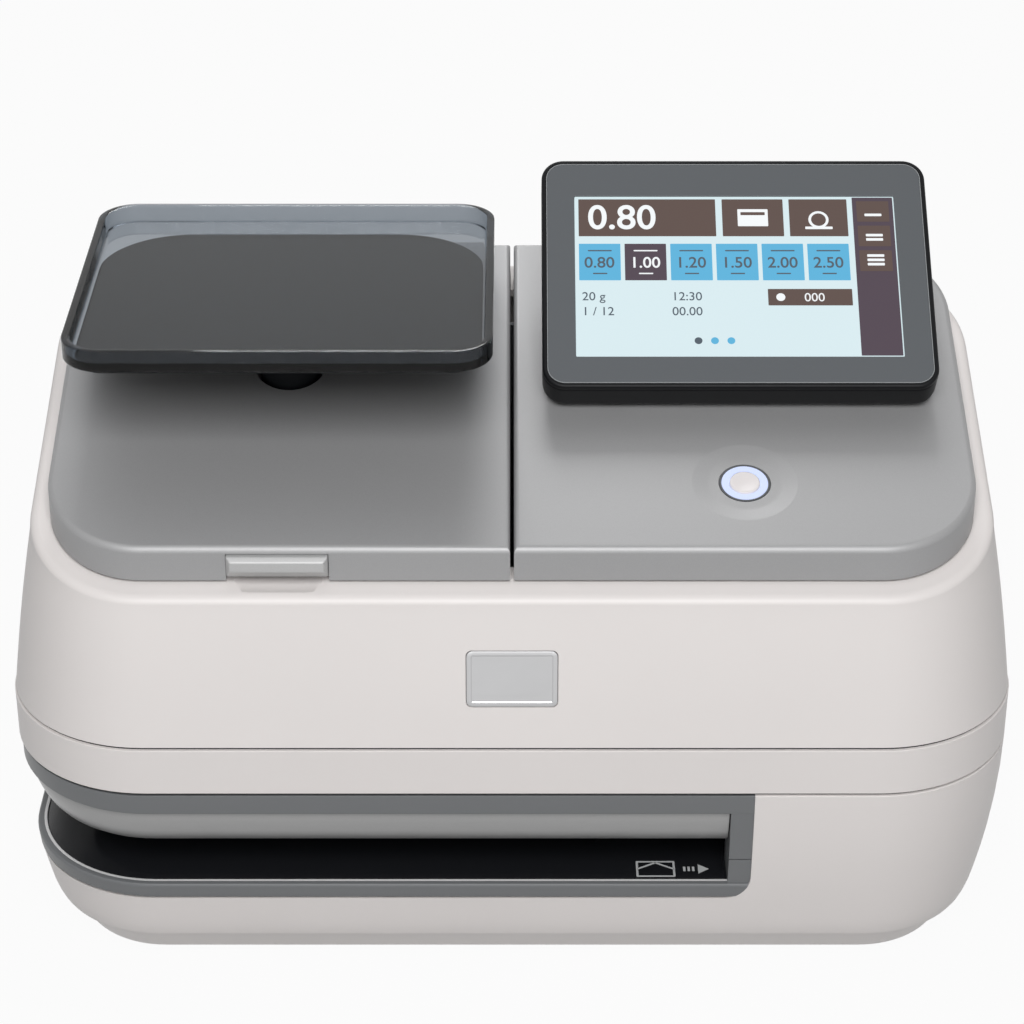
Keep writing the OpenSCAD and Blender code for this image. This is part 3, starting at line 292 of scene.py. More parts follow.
@dataclass(frozen=True)
class SilverPaint(Finish):
    """Silver lacquer on plastic: fine flakes that catch the light, under a soft clear coat."""

    flake: float = 0.16
    roughness: float = 0.46

    def mixed(self, sheet: Sheet) -> bpy.types.Material:
        """Flakes as cells of random tint."""
        spark = sheet.cells(self.flake, "Color")
        level = sheet.node("ShaderNodeSeparateColor", None, {0: spark})
        base = self.wandering(sheet, 80.0, 0.02)
        bright = tuple(min(c * 1.25, 1.0) for c in srgb(self.colour)[:3]) + (1.0,)
        return sheet.surface(
            {
                "Base Color": sheet.mix(base, bright, level * 0.35),
                "Metallic": 0.25,
                "Roughness": level * 0.12 + (self.roughness - 0.06),
                "Coat Weight": 0.05,
                "Coat Roughness": 0.3,
                "Normal": sheet.bump(sheet.noise(0.8, 2.0), 0.006),
            }
        )


class Lay(Enum):
    """Which way a metal's grinding lines run: the stretch of the noise that draws them."""

    ALONG_X = (0.02, 1.0, 1.0)
    ALONG_Y = (1.0, 0.02, 1.0)


@dataclass(frozen=True)
class Metal(Finish):
    """Bare or plated metal with fine lines from its working."""

    roughness: float = 0.3
    lay: Lay = Lay.ALONG_X
    spangle: float = 0.0

    def mixed(self, sheet: Sheet) -> bpy.types.Material:
        """Lines from stretched noise, and zinc spangle where it is plated."""
        lines = sheet.noise(0.3, 2.0, self.lay.value)
        rough = lines * 0.2 + (self.roughness - 0.1)
        colour = self.wandering(sheet, 25.0, 0.05)
        if self.spangle:
            patch = sheet.node("ShaderNodeSeparateColor", None, {0: sheet.cells(self.spangle, "Color")})
            rough = rough + patch * 0.12
        return sheet.surface(
            {
                "Base Color": colour,
                "Metallic": 1.0,
                "Roughness": rough,
                "Normal": sheet.bump(lines, 0.004),
            }
        )


@dataclass(frozen=True)
class Rubber(Finish):
    """Dull rubber with a fine pitted skin."""

    def mixed(self, sheet: Sheet) -> bpy.types.Material:
        """Pits from cells over noise."""
        skin = sheet.cells(0.7) * 0.5 + sheet.noise(0.25, 2.0) * 0.5
        return sheet.surface(
            {
                "Base Color": self.wandering(sheet, 8.0, 0.15),
                "Roughness": skin * 0.2 + 0.65,
                "Normal": sheet.bump(skin, 0.05),
            }
        )


@dataclass(frozen=True)
class SmokedClear(Finish):
    """Smoked clear plastic with hair-fine scuffs, darker the deeper one looks through it."""

    smoke: float = 750.0

    def mixed(self, sheet: Sheet) -> bpy.types.Material:
        """Clear body, gloss broken a little by scuffs, and lamps that shine through it."""
        scuff = sheet.noise(0.4, 3.0, (0.06, 1.0, 1.0))
        body = {
            "Base Color": self.wandering(sheet, 90.0, 0.04),
            "Roughness": scuff * 0.06 + 0.01,
            "IOR": 1.3,
            "Transmission Weight": 1.0,
        }
        clear = sheet.node("ShaderNodeBsdfPrincipled", None, body)
        shade = sheet.node("ShaderNodeBsdfTransparent", None, {"Color": (0.9, 0.9, 0.9, 1.0)})
        lamp = sheet.node("ShaderNodeLightPath", out="Is Shadow Ray")
        smoke = {"Color": (0.5, 0.535, 0.57, 1.0), "Density": self.smoke}
        sheet.output(
            sheet.node("ShaderNodeMixShader", None, {0: lamp, 1: clear, 2: shade}),
            sheet.node("ShaderNodeVolumeAbsorption", None, smoke),
        )
        return sheet.material


@dataclass(frozen=True)
class Lit(Finish):
    """A lit surface: screen or lamp, with the fine rows of its pixels."""

    strength: float = 0.9
    pitch: float = 0.28

    def mixed(self, sheet: Sheet) -> bpy.types.Material:
        """Colour rows a hair darker than the rest, and slow random patches a little dimmer."""
        colour = srgb(self.colour)
        dim = tuple(c * 0.9 for c in colour[:3]) + (1.0,)
        split = sheet.node("ShaderNodeSeparateXYZ", None, {0: sheet.place})
        rows = (split / (self.pitch * MM)).math("FRACT") > 0.8
        glow = sheet.mix(colour, dim, rows * 0.6 + sheet.noise(70.0, 1.0) * 0.4)
        return sheet.surface(
            {
                "Base Color": tuple(c * 0.12 for c in colour[:3]) + (1.0,),
                "Roughness": 0.25,
                "Emission Color": glow,
                "Emission Strength": self.strength,
            }
        )


@dataclass(frozen=True)
class Circuit(Finish):
    """A circuit board: lacquer over copper tracks."""

    def mixed(self, sheet: Sheet) -> bpy.types.Material:
        """Tracks as the borders of square cells."""
        inputs = {"Vector": sheet.place, "Scale": 1.0 / (5.0 * MM)}
        settings = {"distance": "CHEBYCHEV", "feature": "F1"}
        cell = sheet.node("ShaderNodeTexVoronoi", settings, inputs)
        track = (cell * 6.0).math("FRACT") > 0.72
        red, green, blue, _ = srgb(self.colour)
        copper = (red * 1.9, green * 1.7, blue * 1.6, 1.0)
        return sheet.surface(
            {
                "Base Color": sheet.mix(self.wandering(sheet, 20.0, 0.06), copper, track * 0.8),
                "Roughness": sheet.noise(1.0) * 0.1 + 0.28,
                "Normal": sheet.bump(track, 0.03),
            }
        )


CASING_WHITE = Moulding("casing_white", "#E6E1DF", 0.42, 0.45, 0.010)
DECK_SILVER = SilverPaint("deck_silver", "#9A9A9B")
TAB_SILVER = SilverPaint("tab_silver", "#B4B4B4")
BADGE_SILVER = Metal("badge_silver", "#B9B9BA", 0.36, Lay.ALONG_X)
BEZEL_GREY = Moulding("bezel_grey", "#6C6E70", 0.4, 0.4, 0.010)
LIP_GREY = SilverPaint("lip_grey", "#9A9A9A", 0.16, 0.34)
TABLE_BLACK = Moulding("table_black", "#1A1B1E", 0.2, 0.6, 0.004, 0.3)
# A light strip on the sill's top edge: a painted highlight along the edge.
PAINTED_SILL_HIGHLIGHT = SilverPaint("painted_sill_highlight", "#DADADA")
ICON_GREY = Moulding("icon_grey", "#B9BBBC", 0.5, 0.3, 0.006)
SMOKED = SmokedClear("smoked_clear", "#E4E7EA")
PLATE_BLACK = Moulding("plate_black", "#121417", 0.6, 0.3, 0.002, 0.0, 0.1)
DISPLAY_BLACK = Moulding("display_black", "#08090C", 0.42, 0.4, 0.006, 0.0, 0.15)
DISPLAY_GREY = Moulding("display_grey", "#505458", 0.34, 0.3, 0.004, 0.12)
# A light grey ring round the display's panel: a painted highlight on the bevel.
PAINTED_EDGE_HIGHLIGHT = SilverPaint("painted_edge_highlight", "#8E9193", 0.14, 0.3)
BUTTON_WHITE = Moulding("button_white", "#E6E1E1", 0.35, 0.4, 0.008)
RING_DARK = Moulding("ring_dark", "#3A3D42", 0.3, 0.4, 0.006)
GLOW = Lit("glow", "#CFDBFF", 0.95, 0.5)
RUBBER = Rubber("rubber", "#17181A")
STEEL = Metal("steel", "#B7B9BB", 0.26, Lay.ALONG_Y)
SHEET = Metal("sheet", "#A3A7AA", 0.42, Lay.ALONG_X, 9.0)
ALLOY = Metal("alloy", "#C3C4C6", 0.36, Lay.ALONG_X)
MOTOR = Metal("motor", "#6F7377", 0.34, Lay.ALONG_Y)
BRASS = Metal("brass", "#B99A52", 0.3, Lay.ALONG_Y)
INNER_BLACK = Moulding("inner_black", "#1C1D20", 0.48, 0.5, 0.014)
INNER_GREY = Moulding("inner_grey", "#7E8286", 0.5, 0.5, 0.014)
INK = Moulding("ink", "#2A2C33", 0.3, 0.5, 0.008, 0.15)
LATCH_GREEN = Moulding("latch_green", "#4F8F63", 0.4, 0.4, 0.010)
BOARD = Circuit("board", "#1F5B3A")
SCREEN_PALE = Lit("screen_pale", "#DCEFF4", 0.85)
SCREEN_DARK = Lit("screen_dark", "#4A3A48", 0.8)
SCREEN_BROWN = Lit("screen_brown", "#5A463F", 0.8)
SCREEN_BLUE = Lit("screen_blue", "#58B4DE", 0.85)
SCREEN_WHITE = Lit("screen_white", "#F4F8FA", 0.9)
SCREEN_INK = Lit("screen_ink", "#4D5A66", 0.8)


class Ends(Enum):
    """How a loft closes where its two profiles stop."""

    CAPPED = "capped"
    BRIDGED = "bridged"


class Cut(Enum):
    """What a cutter does to a piece."""

    AWAY = "DIFFERENCE"
    WITHIN = "INTERSECT"
    ADDED = "UNION"


@dataclass(frozen=True)
class Ring:
    """A loft's ring: mm outside the outline, height at the deck's front edge, share of the deck's slope."""

    out: float
    z: float
    share: float = 0.0


@dataclass(frozen=True)
class Outline:
    """A rounded rectangle in plan, in mm, with its radii from the front left corner counter-clockwise."""

    x0: float
    x1: float
    y0: float
    y1: float
    radii: tuple[float, float, float, float]
    swells: bool = False

    def swell(self, out: float) -> float:
        """What the casing's ends add to the offset."""
        return 1.4 * max(0.0, out - RIM_W) / 9.0 if self.swells else 0.0

    def half_x(self, out: float) -> float:
        """Half the width at an offset."""
        return (self.x1 - self.x0) / 2 + out + self.swell(out)


CASE = Outline(-HALF_W, HALF_W, -HALF_D, HALF_D, (DECK_R,) * 4, True)


class Bench:
    """One piece being modelled with Blender's own tools; sizes go in as millimetres."""

    def __init__(self, name: str) -> None:
        """Takes the name of the piece to be."""
        self.name = name
        self.piece: bpy.types.Object | None = None

    @staticmethod
    def clear() -> None:
        """Leaves edit mode with nothing selected."""
        if bpy.context.object and bpy.context.object.mode != "OBJECT":
            bpy.ops.object.mode_set(mode="OBJECT")
        bpy.ops.object.select_all(action="DESELECT")

    def begin(self, tool: Callable[..., object], **settings: object) -> "Bench":
        """Adds a primitive at the origin and goes into edit mode with it selected."""
        self.clear()
        tool(location=(0.0, 0.0, 0.0), **settings)
        self.piece = bpy.context.object
        self.piece.name = self.name
        bpy.ops.object.mode_set(mode="EDIT")
        bpy.ops.mesh.select_mode(type="VERT")
        bpy.ops.mesh.select_all(action="SELECT")
        return self

    def active(self) -> None:
        """Leaves edit mode with only this piece selected."""
        self.clear()
        self.piece.select_set(True)
        bpy.context.view_layer.objects.active = self.piece

    def edit(self) -> "Bench":
        """Goes into edit mode with everything selected."""
        self.active()
        bpy.ops.object.mode_set(mode="EDIT")
        bpy.ops.mesh.select_all(action="SELECT")
        return self

    def resize(self, x: float, y: float, z: float, centre: Point = (0.0, 0.0, 0.0)) -> "Bench":
        """Scales what is selected about a centre in mm."""
        bpy.ops.transform.resize(value=(x, y, z), center_override=tuple(c * MM for c in centre))
        return self

    def move(self, x: float, y: float, z: float) -> "Bench":
        """Moves what is selected."""
        bpy.ops.transform.translate(value=(x * MM, y * MM, z * MM))
        return self

    def turn(self, degrees: float, axis: str, centre: Point = (0.0, 0.0, 0.0)) -> "Bench":
        """Turns what is selected by the right-hand rule about an axis through a centre."""
        bpy.ops.transform.rotate(
            value=-math.radians(degrees), orient_axis=axis, center_override=tuple(c * MM for c in centre)
        )
        return self

    def pick(self, test: Callable[[Vector], bool]) -> "Bench":
        """Selects the vertices whose place in mm passes a test, and the edges and faces between them."""
        bpy.ops.mesh.select_mode(type="VERT")
        bpy.ops.mesh.select_all(action="DESELECT")
        net = bmesh.from_edit_mesh(self.piece.data)
        for corner in net.verts:
            corner.select = test(corner.co / MM)
        net.select_flush(True)
        bmesh.update_edit_mesh(self.piece.data)
        return self

    def pick_members(self, members: set[int]) -> "Bench":
        """Selects vertices by number."""
        bpy.ops.mesh.select_mode(type="VERT")
        bpy.ops.mesh.select_all(action="DESELECT")
        net = bmesh.from_edit_mesh(self.piece.data)
        for corner in net.verts:
            corner.select = corner.index in members
        net.select_flush(True)
        bmesh.update_edit_mesh(self.piece.data)
        return self

    def pick_faces(self, test: Callable[[bmesh.types.BMFace], bool]) -> "Bench":
        """Selects the faces that pass a test."""
        bpy.ops.mesh.select_mode(type="FACE")
        bpy.ops.mesh.select_all(action="DESELECT")
        net = bmesh.from_edit_mesh(self.piece.data)
        for face in net.faces:
            face.select = test(face)
        bmesh.update_edit_mesh(self.piece.data)
        return self

    def sheet(self, outline: Outline, out: float, z: float, segments: int = 20) -> "Bench":
        """A flat rounded rectangle, grown by an offset."""
        self.begin(bpy.ops.mesh.primitive_plane_add, size=1.0)
        half_x = outline.half_x(out)
        half_y = (outline.y1 - outline.y0) / 2 + out
        middle = ((outline.x0 + outline.x1) / 2, (outline.y0 + outline.y1) / 2)
        self.resize(2 * half_x * MM, 2 * half_y * MM, 1.0)
        self.move(middle[0], middle[1], z)
        for (side_x, side_y), radius in zip(((-1, -1), (1, -1), (1, 1), (-1, 1)), outline.radii):
            if radius <= 0:
                continue
            corner = (middle[0] + side_x * half_x, middle[1] + side_y * half_y)
            self.pick(lambda p, c=corner: abs(p.x - c[0]) < 0.01 and abs(p.y - c[1]) < 0.01)
            bpy.ops.mesh.bevel(offset=(radius + out) * MM, segments=segments, affect="VERTICES", profile=0.5)
        bpy.ops.mesh.select_all(action="SELECT")
        return self

    def rise(self, outline: Outline, rings: Sequence[Ring]) -> None:
        """Draws the selected face through rings, inwards and up or down."""
        for before, ring in zip(rings, rings[1:]):
            inset = before.out - ring.out
            if inset > LEAST_INSET:
                bpy.ops.mesh.inset(thickness=inset * MM, depth=0.0, use_even_offset=True, use_boundary=True)
            else:
                bpy.ops.mesh.extrude_region()
            if ring.z != before.z:
                self.move(0.0, 0.0, ring.z - before.z)
            if outline.swells:
                wanted = outline.half_x(ring.out)
                bpy.ops.transform.resize(
                    value=(wanted / (outline.half_x(before.out) - inset), 1.0, 1.0), center_override=(0.0, 0.0, 0.0)
                )

    def loft(
        self,
        outline: Outline,
        upper: Sequence[Ring],
        lower: Sequence[Ring] = (),
        ends: Ends = Ends.CAPPED,
        segments: int = 20,
    ) -> "Bench":
        """Lofts a closed form from its widest ring.

        Args:
            outline: The form's outline in plan.
            upper: The rings from the widest one upwards, ever further in.
            lower: The rings from the widest one downwards, without it.
            ends: Whether both ends get a cap, or are joined to each other.
            segments: Steps in each rounded corner.

        Returns:
            The bench, in edit mode.
        """
        start = upper[0]
        self.sheet(outline, start.out, start.z, segments)
        self.rise(outline, upper)
        self.boundary()
        bpy.ops.mesh.edge_face_add()
        if len(upper) > 1 and start.out - upper[1].out <= LEAST_INSET:
            # A lone face that is extruded straight up stays behind as the floor
            self.pick_faces(lambda face: self.is_cap(face) and abs(face.calc_center_median().z / MM - start.z) < 0.001)
        self.rise(outline, (start, *lower))
        if ends is Ends.BRIDGED:
            self.pick_faces(self.is_cap)
            bpy.ops.mesh.delete(type="ONLY_FACE")
            self.boundary()
            bpy.ops.mesh.bridge_edge_loops()
        self.lean((*upper, *lower))
        return self.outward()

    @staticmethod
    def is_cap(face: bmesh.types.BMFace) -> bool:
        """Whether a face closes a ring, with more corners than a wall's face has."""
        return len(face.verts) > 4

    def boundary(self) -> None:
        """Selects the open edges."""
        bpy.ops.mesh.select_mode(type="VERT")
        bpy.ops.mesh.select_all(action="DESELECT")
        bpy.ops.mesh.select_non_manifold(
            use_wire=False, use_boundary=True, use_multi_face=False, use_non_contiguous=False, use_verts=False
        )

    def lean(self, rings: Iterable[Ring]) -> None:
        """Tilts each ring by its share of the deck's slope, about its front edge."""
        shares = {round(ring.z, 2): ring.share for ring in rings if ring.share}
        groups: dict[float, set[int]] = {}
        net = bmesh.from_edit_mesh(self.piece.data)
        net.verts.index_update()
        for corner in net.verts:
            height = round(corner.co.z / MM, 2)
            if height in shares:
                groups.setdefault(height, set()).add(corner.index)
        for height, members in groups.items():
            angle = math.atan(shares[height] * math.tan(SLOPE))
            self.pick_members(members)
            self.resize(1.0, 1.0 / math.cos(angle), 1.0, (0.0, -HALF_D, height))
            self.turn(math.degrees(angle), "X", (0.0, -HALF_D, height))

    def outward(self) -> "Bench":
        """Points every face out."""
        bpy.ops.mesh.select_all(action="SELECT")
        bpy.ops.mesh.normals_make_consistent(inside=False)
        return self

    def block(self, low: Point, high: Point) -> "Bench":
        """A box between two corners."""
        self.begin(bpy.ops.mesh.primitive_cube_add, size=1.0)
        self.resize(*((b - a) * MM for a, b in zip(low, high)))
        return self.move(*((a + b) / 2 for a, b in zip(low, high)))

    def turned(self, profile: Sequence[tuple[float, float]], vertices: int = 72) -> "Bench":
        """Turns a profile of radius and height about Z, closed at both ends."""
        radius, height = profile[0]
        self.begin(
            bpy.ops.mesh.primitive_circle_add, vertices=vertices, radius=radius * MM, fill_type="NGON"
        )
        self.move(0.0, 0.0, height)
        for (r0, z0), (r1, z1) in zip(profile, profile[1:]):
            bpy.ops.mesh.extrude_region()
            self.move(0.0, 0.0, z1 - z0)
            if r1 != r0:
                self.resize(r1 / r0, r1 / r0, 1.0, (0.0, 0.0, z1))
        self.boundary()
        bpy.ops.mesh.edge_face_add()
        return self.outward()

    def copied(self, node: str) -> "Bench":
        """A copy of a solid's mesh, with its loose triangles merged into whole faces."""
        self.clear()
        self.piece = bpy.data.objects.new(self.name, frame["nodes"][node].data.copy())
        bpy.context.scene.collection.objects.link(self.piece)
        self.edit()
        bpy.ops.mesh.remove_doubles(threshold=0.002 * MM)
        bpy.ops.mesh.dissolve_limited(angle_limit=math.radians(0.4))
        return self.outward()

    def trim(self, place: Point, normal: Point) -> "Bench":
        """Cuts away what lies on the normal's side of a plane, and closes the cut."""
        bpy.ops.mesh.select_all(action="SELECT")
        bpy.ops.mesh.bisect(
            plane_co=tuple(c * MM for c in place), plane_no=normal, use_fill=True, clear_outer=True
        )
        return self

    def modify(self, kind: str, **settings: object) -> "Bench":
        """Adds a modifier and applies it."""
        self.active()
        change = self.piece.modifiers.new(kind, kind)
        for key, value in settings.items():
            setattr(change, key, value)
        bpy.ops.object.modifier_apply(modifier=change.name)
        return self

    def cut(self, other: "Bench", way: Cut = Cut.AWAY) -> "Bench":
        """Cuts with another piece, which is used up."""
        other.active()
        self.modify("BOOLEAN", operation=way.value, object=other.piece, solver="EXACT")
        bpy.data.objects.remove(other.piece)
        return self

    def join(self, *others: "Bench") -> "Bench":
        """Takes other pieces into this one as they are."""
        for other in others:
            other.active()
        self.active()
        for other in others:
            other.piece.select_set(True)
        bpy.ops.object.join()
        return self

    def soften(self, width: float, segments: int = 2, angle: float = 35.0) -> "Bench":
        """Rounds the sharp edges."""
        return self.modify(
            "BEVEL",
            width=width * MM,
            segments=segments,
            limit_method="ANGLE",
            angle_limit=math.radians(angle),
            miter_outer="MITER_ARC",
        )

    def done(self, body: str, slot: str, finish: Finish, *nodes: str, angle: float = 32.0) -> bpy.types.Object:
        """Smooths the piece, gives it its finish and sets it on its body.

        Args:
            body: The body that it rides on.
            slot: The record's material slot; not used.
            finish: Its finish.
            nodes: The solids that it stands for.
            angle: The edge angle in degrees up to which shading runs on.

        Returns:
            The finished piece.
        """
        self.active()
        bpy.ops.object.shade_smooth_by_angle(angle=math.radians(angle))
        self.modify("WEIGHTED_NORMAL", keep_sharp=True, weight=50)
        self.piece.data.materials.clear()
        self.piece.data.materials.append(finish.material())
        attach(self.piece, body)
        if nodes:
            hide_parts(*nodes)
        LOG.info("%s: %d faces, on %s", self.name, len(self.piece.data.polygons), body)
        return self.piece


def slot_prism(name: str) -> Bench:
    """The letter slot's mouth, past the casing on the left and in front, with its lower right corner round."""
    mouth = Outline(-FAR, SLOT_POST_X, 32.6, 77.5, (0.0, 9.0, 0.0, 0.0))
    bench = Bench(name).loft(mouth, (Ring(0.0, -SLOT_POST_Y), Ring(0.0, FAR)))
    bench.turn(90.0, "X")
    return bench


@dataclass
class Casing:
    """The three shells of the casing, the dark strips of painted shade in their seams, the badge and the feet."""

    foot_x: float = 115.8
    foot_y: float = 42.5
    foot_r: float = 9.0
    badge_share: float = 0.46
    badge_size: tuple[float, float] = (29.6, 19.6)

    def build(self) -> None:
        """Makes the shells and what sits on them."""
        self.base_shell()
        self.mid_band()
        self.painted_seam_shade()
        self.upper_casing()
        self.badge()
        self.feet()

    def base_shell(self) -> None:
        """The belly, drawn in to a crease over its foot and open for the letter slot and the sockets."""
        heights = (64.0, 52.0, 42.0, 33.0, 26.0, 21.0)
        outer = [Ring(base_out(z), z) for z in heights]
        foot = ((9.15, 19.0), (8.55, 17.0), (7.95, 15.4), (7.45, 14.5), (7.1, 14.12), (6.7, 14.0), (5.8, 14.0))
        foot += ((-0.5, 4.1), (-1.0, 3.5))
        outer += [Ring(out, z) for out, z in foot]
        inner = ((11.65, 52.0), (8.95, 30.0), (7.1, 20.0), (3.3, 13.5), (-3.6, 5.5), (-7.5, 5.5))
        upper = self.seam_edge(SEAM_LOW, -1.0) + [Ring(out, z) for out, z in inner]
        shell = Bench("base_shell_skin").loft(CASE, upper, [*outer, Ring(-7.5, 3.5)], Ends.BRIDGED)
        shell.cut(slot_prism("slot_cutter"))
        ports = Outline(61.0, 115.0, 17.0, 40.0, (2.0,) * 4)
        opening = Bench("port_cutter").loft(ports, (Ring(0.0, -120.0), Ring(0.0, -66.0)), segments=6)
        opening.turn(90.0, "X")
        shell.cut(opening)
        shell.done("body", "casing_white", CASING_WHITE, "base_shell")

    def seam_edge(self, seam: float, side: float) -> list[Ring]:
        """A shell's edge at a seam, stepped back so that a narrow dark gap stays.

        Args:
            seam: The seam's height in mm.
            side: 1 for the shell above the seam, -1 for the one below.

        Returns:
            Rings from the outer face to the inner one.
        """
        steps = ((15.2, 0.7), (15.1, 0.54), (14.85, 0.46), (13.1, 0.46), (13.1, 0.0), (12.6, 0.0))
        return [Ring(out, round(seam + side * rise, 2)) for out, rise in steps]

    def mid_band(self) -> None:
        """The band between the two seams."""
        lower = self.seam_edge(SEAM_LOW, 1.0)
        upper = lower[:1] + self.seam_edge(SEAM_HIGH, -1.0)
        band = Bench("mid_band_skin").loft(CASE, upper, lower[1:], Ends.BRIDGED)
        band.done("body", "casing_white", CASING_WHITE, "mid_band")

    def painted_seam_shade(self) -> None:
        """Dark strips that close both seams from behind: painted shade, a dark sheet where the gaps hold only shadow.
        """
        strips = []
        for seam in (SEAM_LOW, SEAM_HIGH):
            rings = (Ring(14.0, seam - 0.45), Ring(14.0, seam + 0.45), Ring(13.05, seam + 0.45))
            strips.append(Bench("painted_seam_shade").loft(CASE, rings, (Ring(13.05, seam - 0.45),), Ends.BRIDGED))
        strips[0].join(strips[1]).done("body", "inner_black", INNER_BLACK)

    def upper_casing(self) -> None:
        """The upper wall, drawn in to the sloping rim round the deck."""
        height = RIM_Z - SEAM_HIGH
        shares = [0.1 * i for i in range(1, 10)] + [0.95]
        upper = [Ring(14.81, 94.7, 0.013)]
        upper += [Ring(upper_out(t), round(SEAM_HIGH + t * height, 2), t) for t in shares]
        edge = ((6.72, -1.9), (6.5, -1.25), (6.05, -0.7), (5.4, -0.3), (4.6, -0.08), (3.8, 0.0), (-7.0, 0.0))
        upper += [Ring(out, round(RIM_Z + dz, 2), 1.0) for out, dz in edge]
        lower = [Ring(14.73, 94.54, 0.01), Ring(14.5, 94.46, 0.009), Ring(12.9, 94.46, 0.009)]
        lower += [Ring(12.9, SEAM_HIGH), Ring(12.3, SEAM_HIGH)]
        lower += [Ring(7.56, 125.81, 0.6), Ring(3.6, 144.4, 1.0), Ring(-7.0, 144.4, 1.0)]
        shell = Bench("upper_casing_skin").loft(CASE, upper, lower, Ends.BRIDGED)
        shell.cut(Bench("hinge_trough").block((-129.8, 62.0, 177.5), (-0.5, 73.4, 205.5)))
        profile = ((9.0, -91.0), (12.4, -88.0), (13.4, -85.5), (13.6, -83.0), (13.6, -65.4), (13.4, -62.9))
        profile += ((12.4, -60.4), (9.0, -57.4))
        dip = Bench("finger_dip").turned(profile, 64).turn(90.0, "Y")
        shell.cut(dip.move(0.0, -72.2, RIM_Z + 12.3))
        shell.cut(self.on_badge(Bench("badge_cutter").loft(self.badge_outline(0.0), (Ring(0.0, -1.2), Ring(0.0, 4.0)))))
        shell.done("body", "casing_white", CASING_WHITE, "upper_casing")

    def badge_outline(self, out: float) -> Outline:
        """The badge's outline in its own plane."""
        half_x, half_y = (size / 2 + out for size in self.badge_size)
        return Outline(-half_x, half_x, -half_y, half_y, (2.0,) * 4)

    def on_badge(self, bench: Bench) -> Bench:
        """Takes a form from the badge's plane to its place on the front wall."""
        lean = math.degrees(math.atan2(WALL_LEAN, RIM_Z - SEAM_HIGH))
        y = -HALF_D - upper_out(self.badge_share)
        z = SEAM_HIGH + self.badge_share * (RIM_Z - SEAM_HIGH)
        return bench.turn(90.0 - lean, "X").move(0.0, y, z)

    def badge(self) -> None:
        """A bare silver plate with a raised border, sunk into the front wall."""
        rings = (Ring(0.0, -1.2), Ring(0.0, -0.6), Ring(-0.15, -0.36), Ring(-0.45, -0.25), Ring(-1.5, -0.25))
        rings += (Ring(-1.75, -0.45), Ring(-1.9, -0.5))
        plate = Bench("badge_blank").loft(self.badge_outline(-0.15), rings, segments=8)
        self.on_badge(plate).done("body", "badge_silver", BADGE_SILVER, "badge_plate")

    def feet(self) -> None:
        """Rubber feet with a stepped sole."""
        radius = self.foot_r
        profile = ((radius - 3.4, 0.4), (radius - 2.8, 0.0), (radius - 1.0, 0.0), (radius - 0.3, 0.35))
        profile += ((radius, 1.1), (radius, 5.4))
        feet = []
        for number, (x, y) in enumerate(((-1, -1), (1, -1), (1, 1), (-1, 1))):
            foot = Bench(f"foot_{number}").turned(profile, 48)
            feet.append(foot.move(x * self.foot_x, y * self.foot_y, 0.0))
        feet[0].join(*feet[1:]).done("body", "rubber", RUBBER, "rubber_feet")


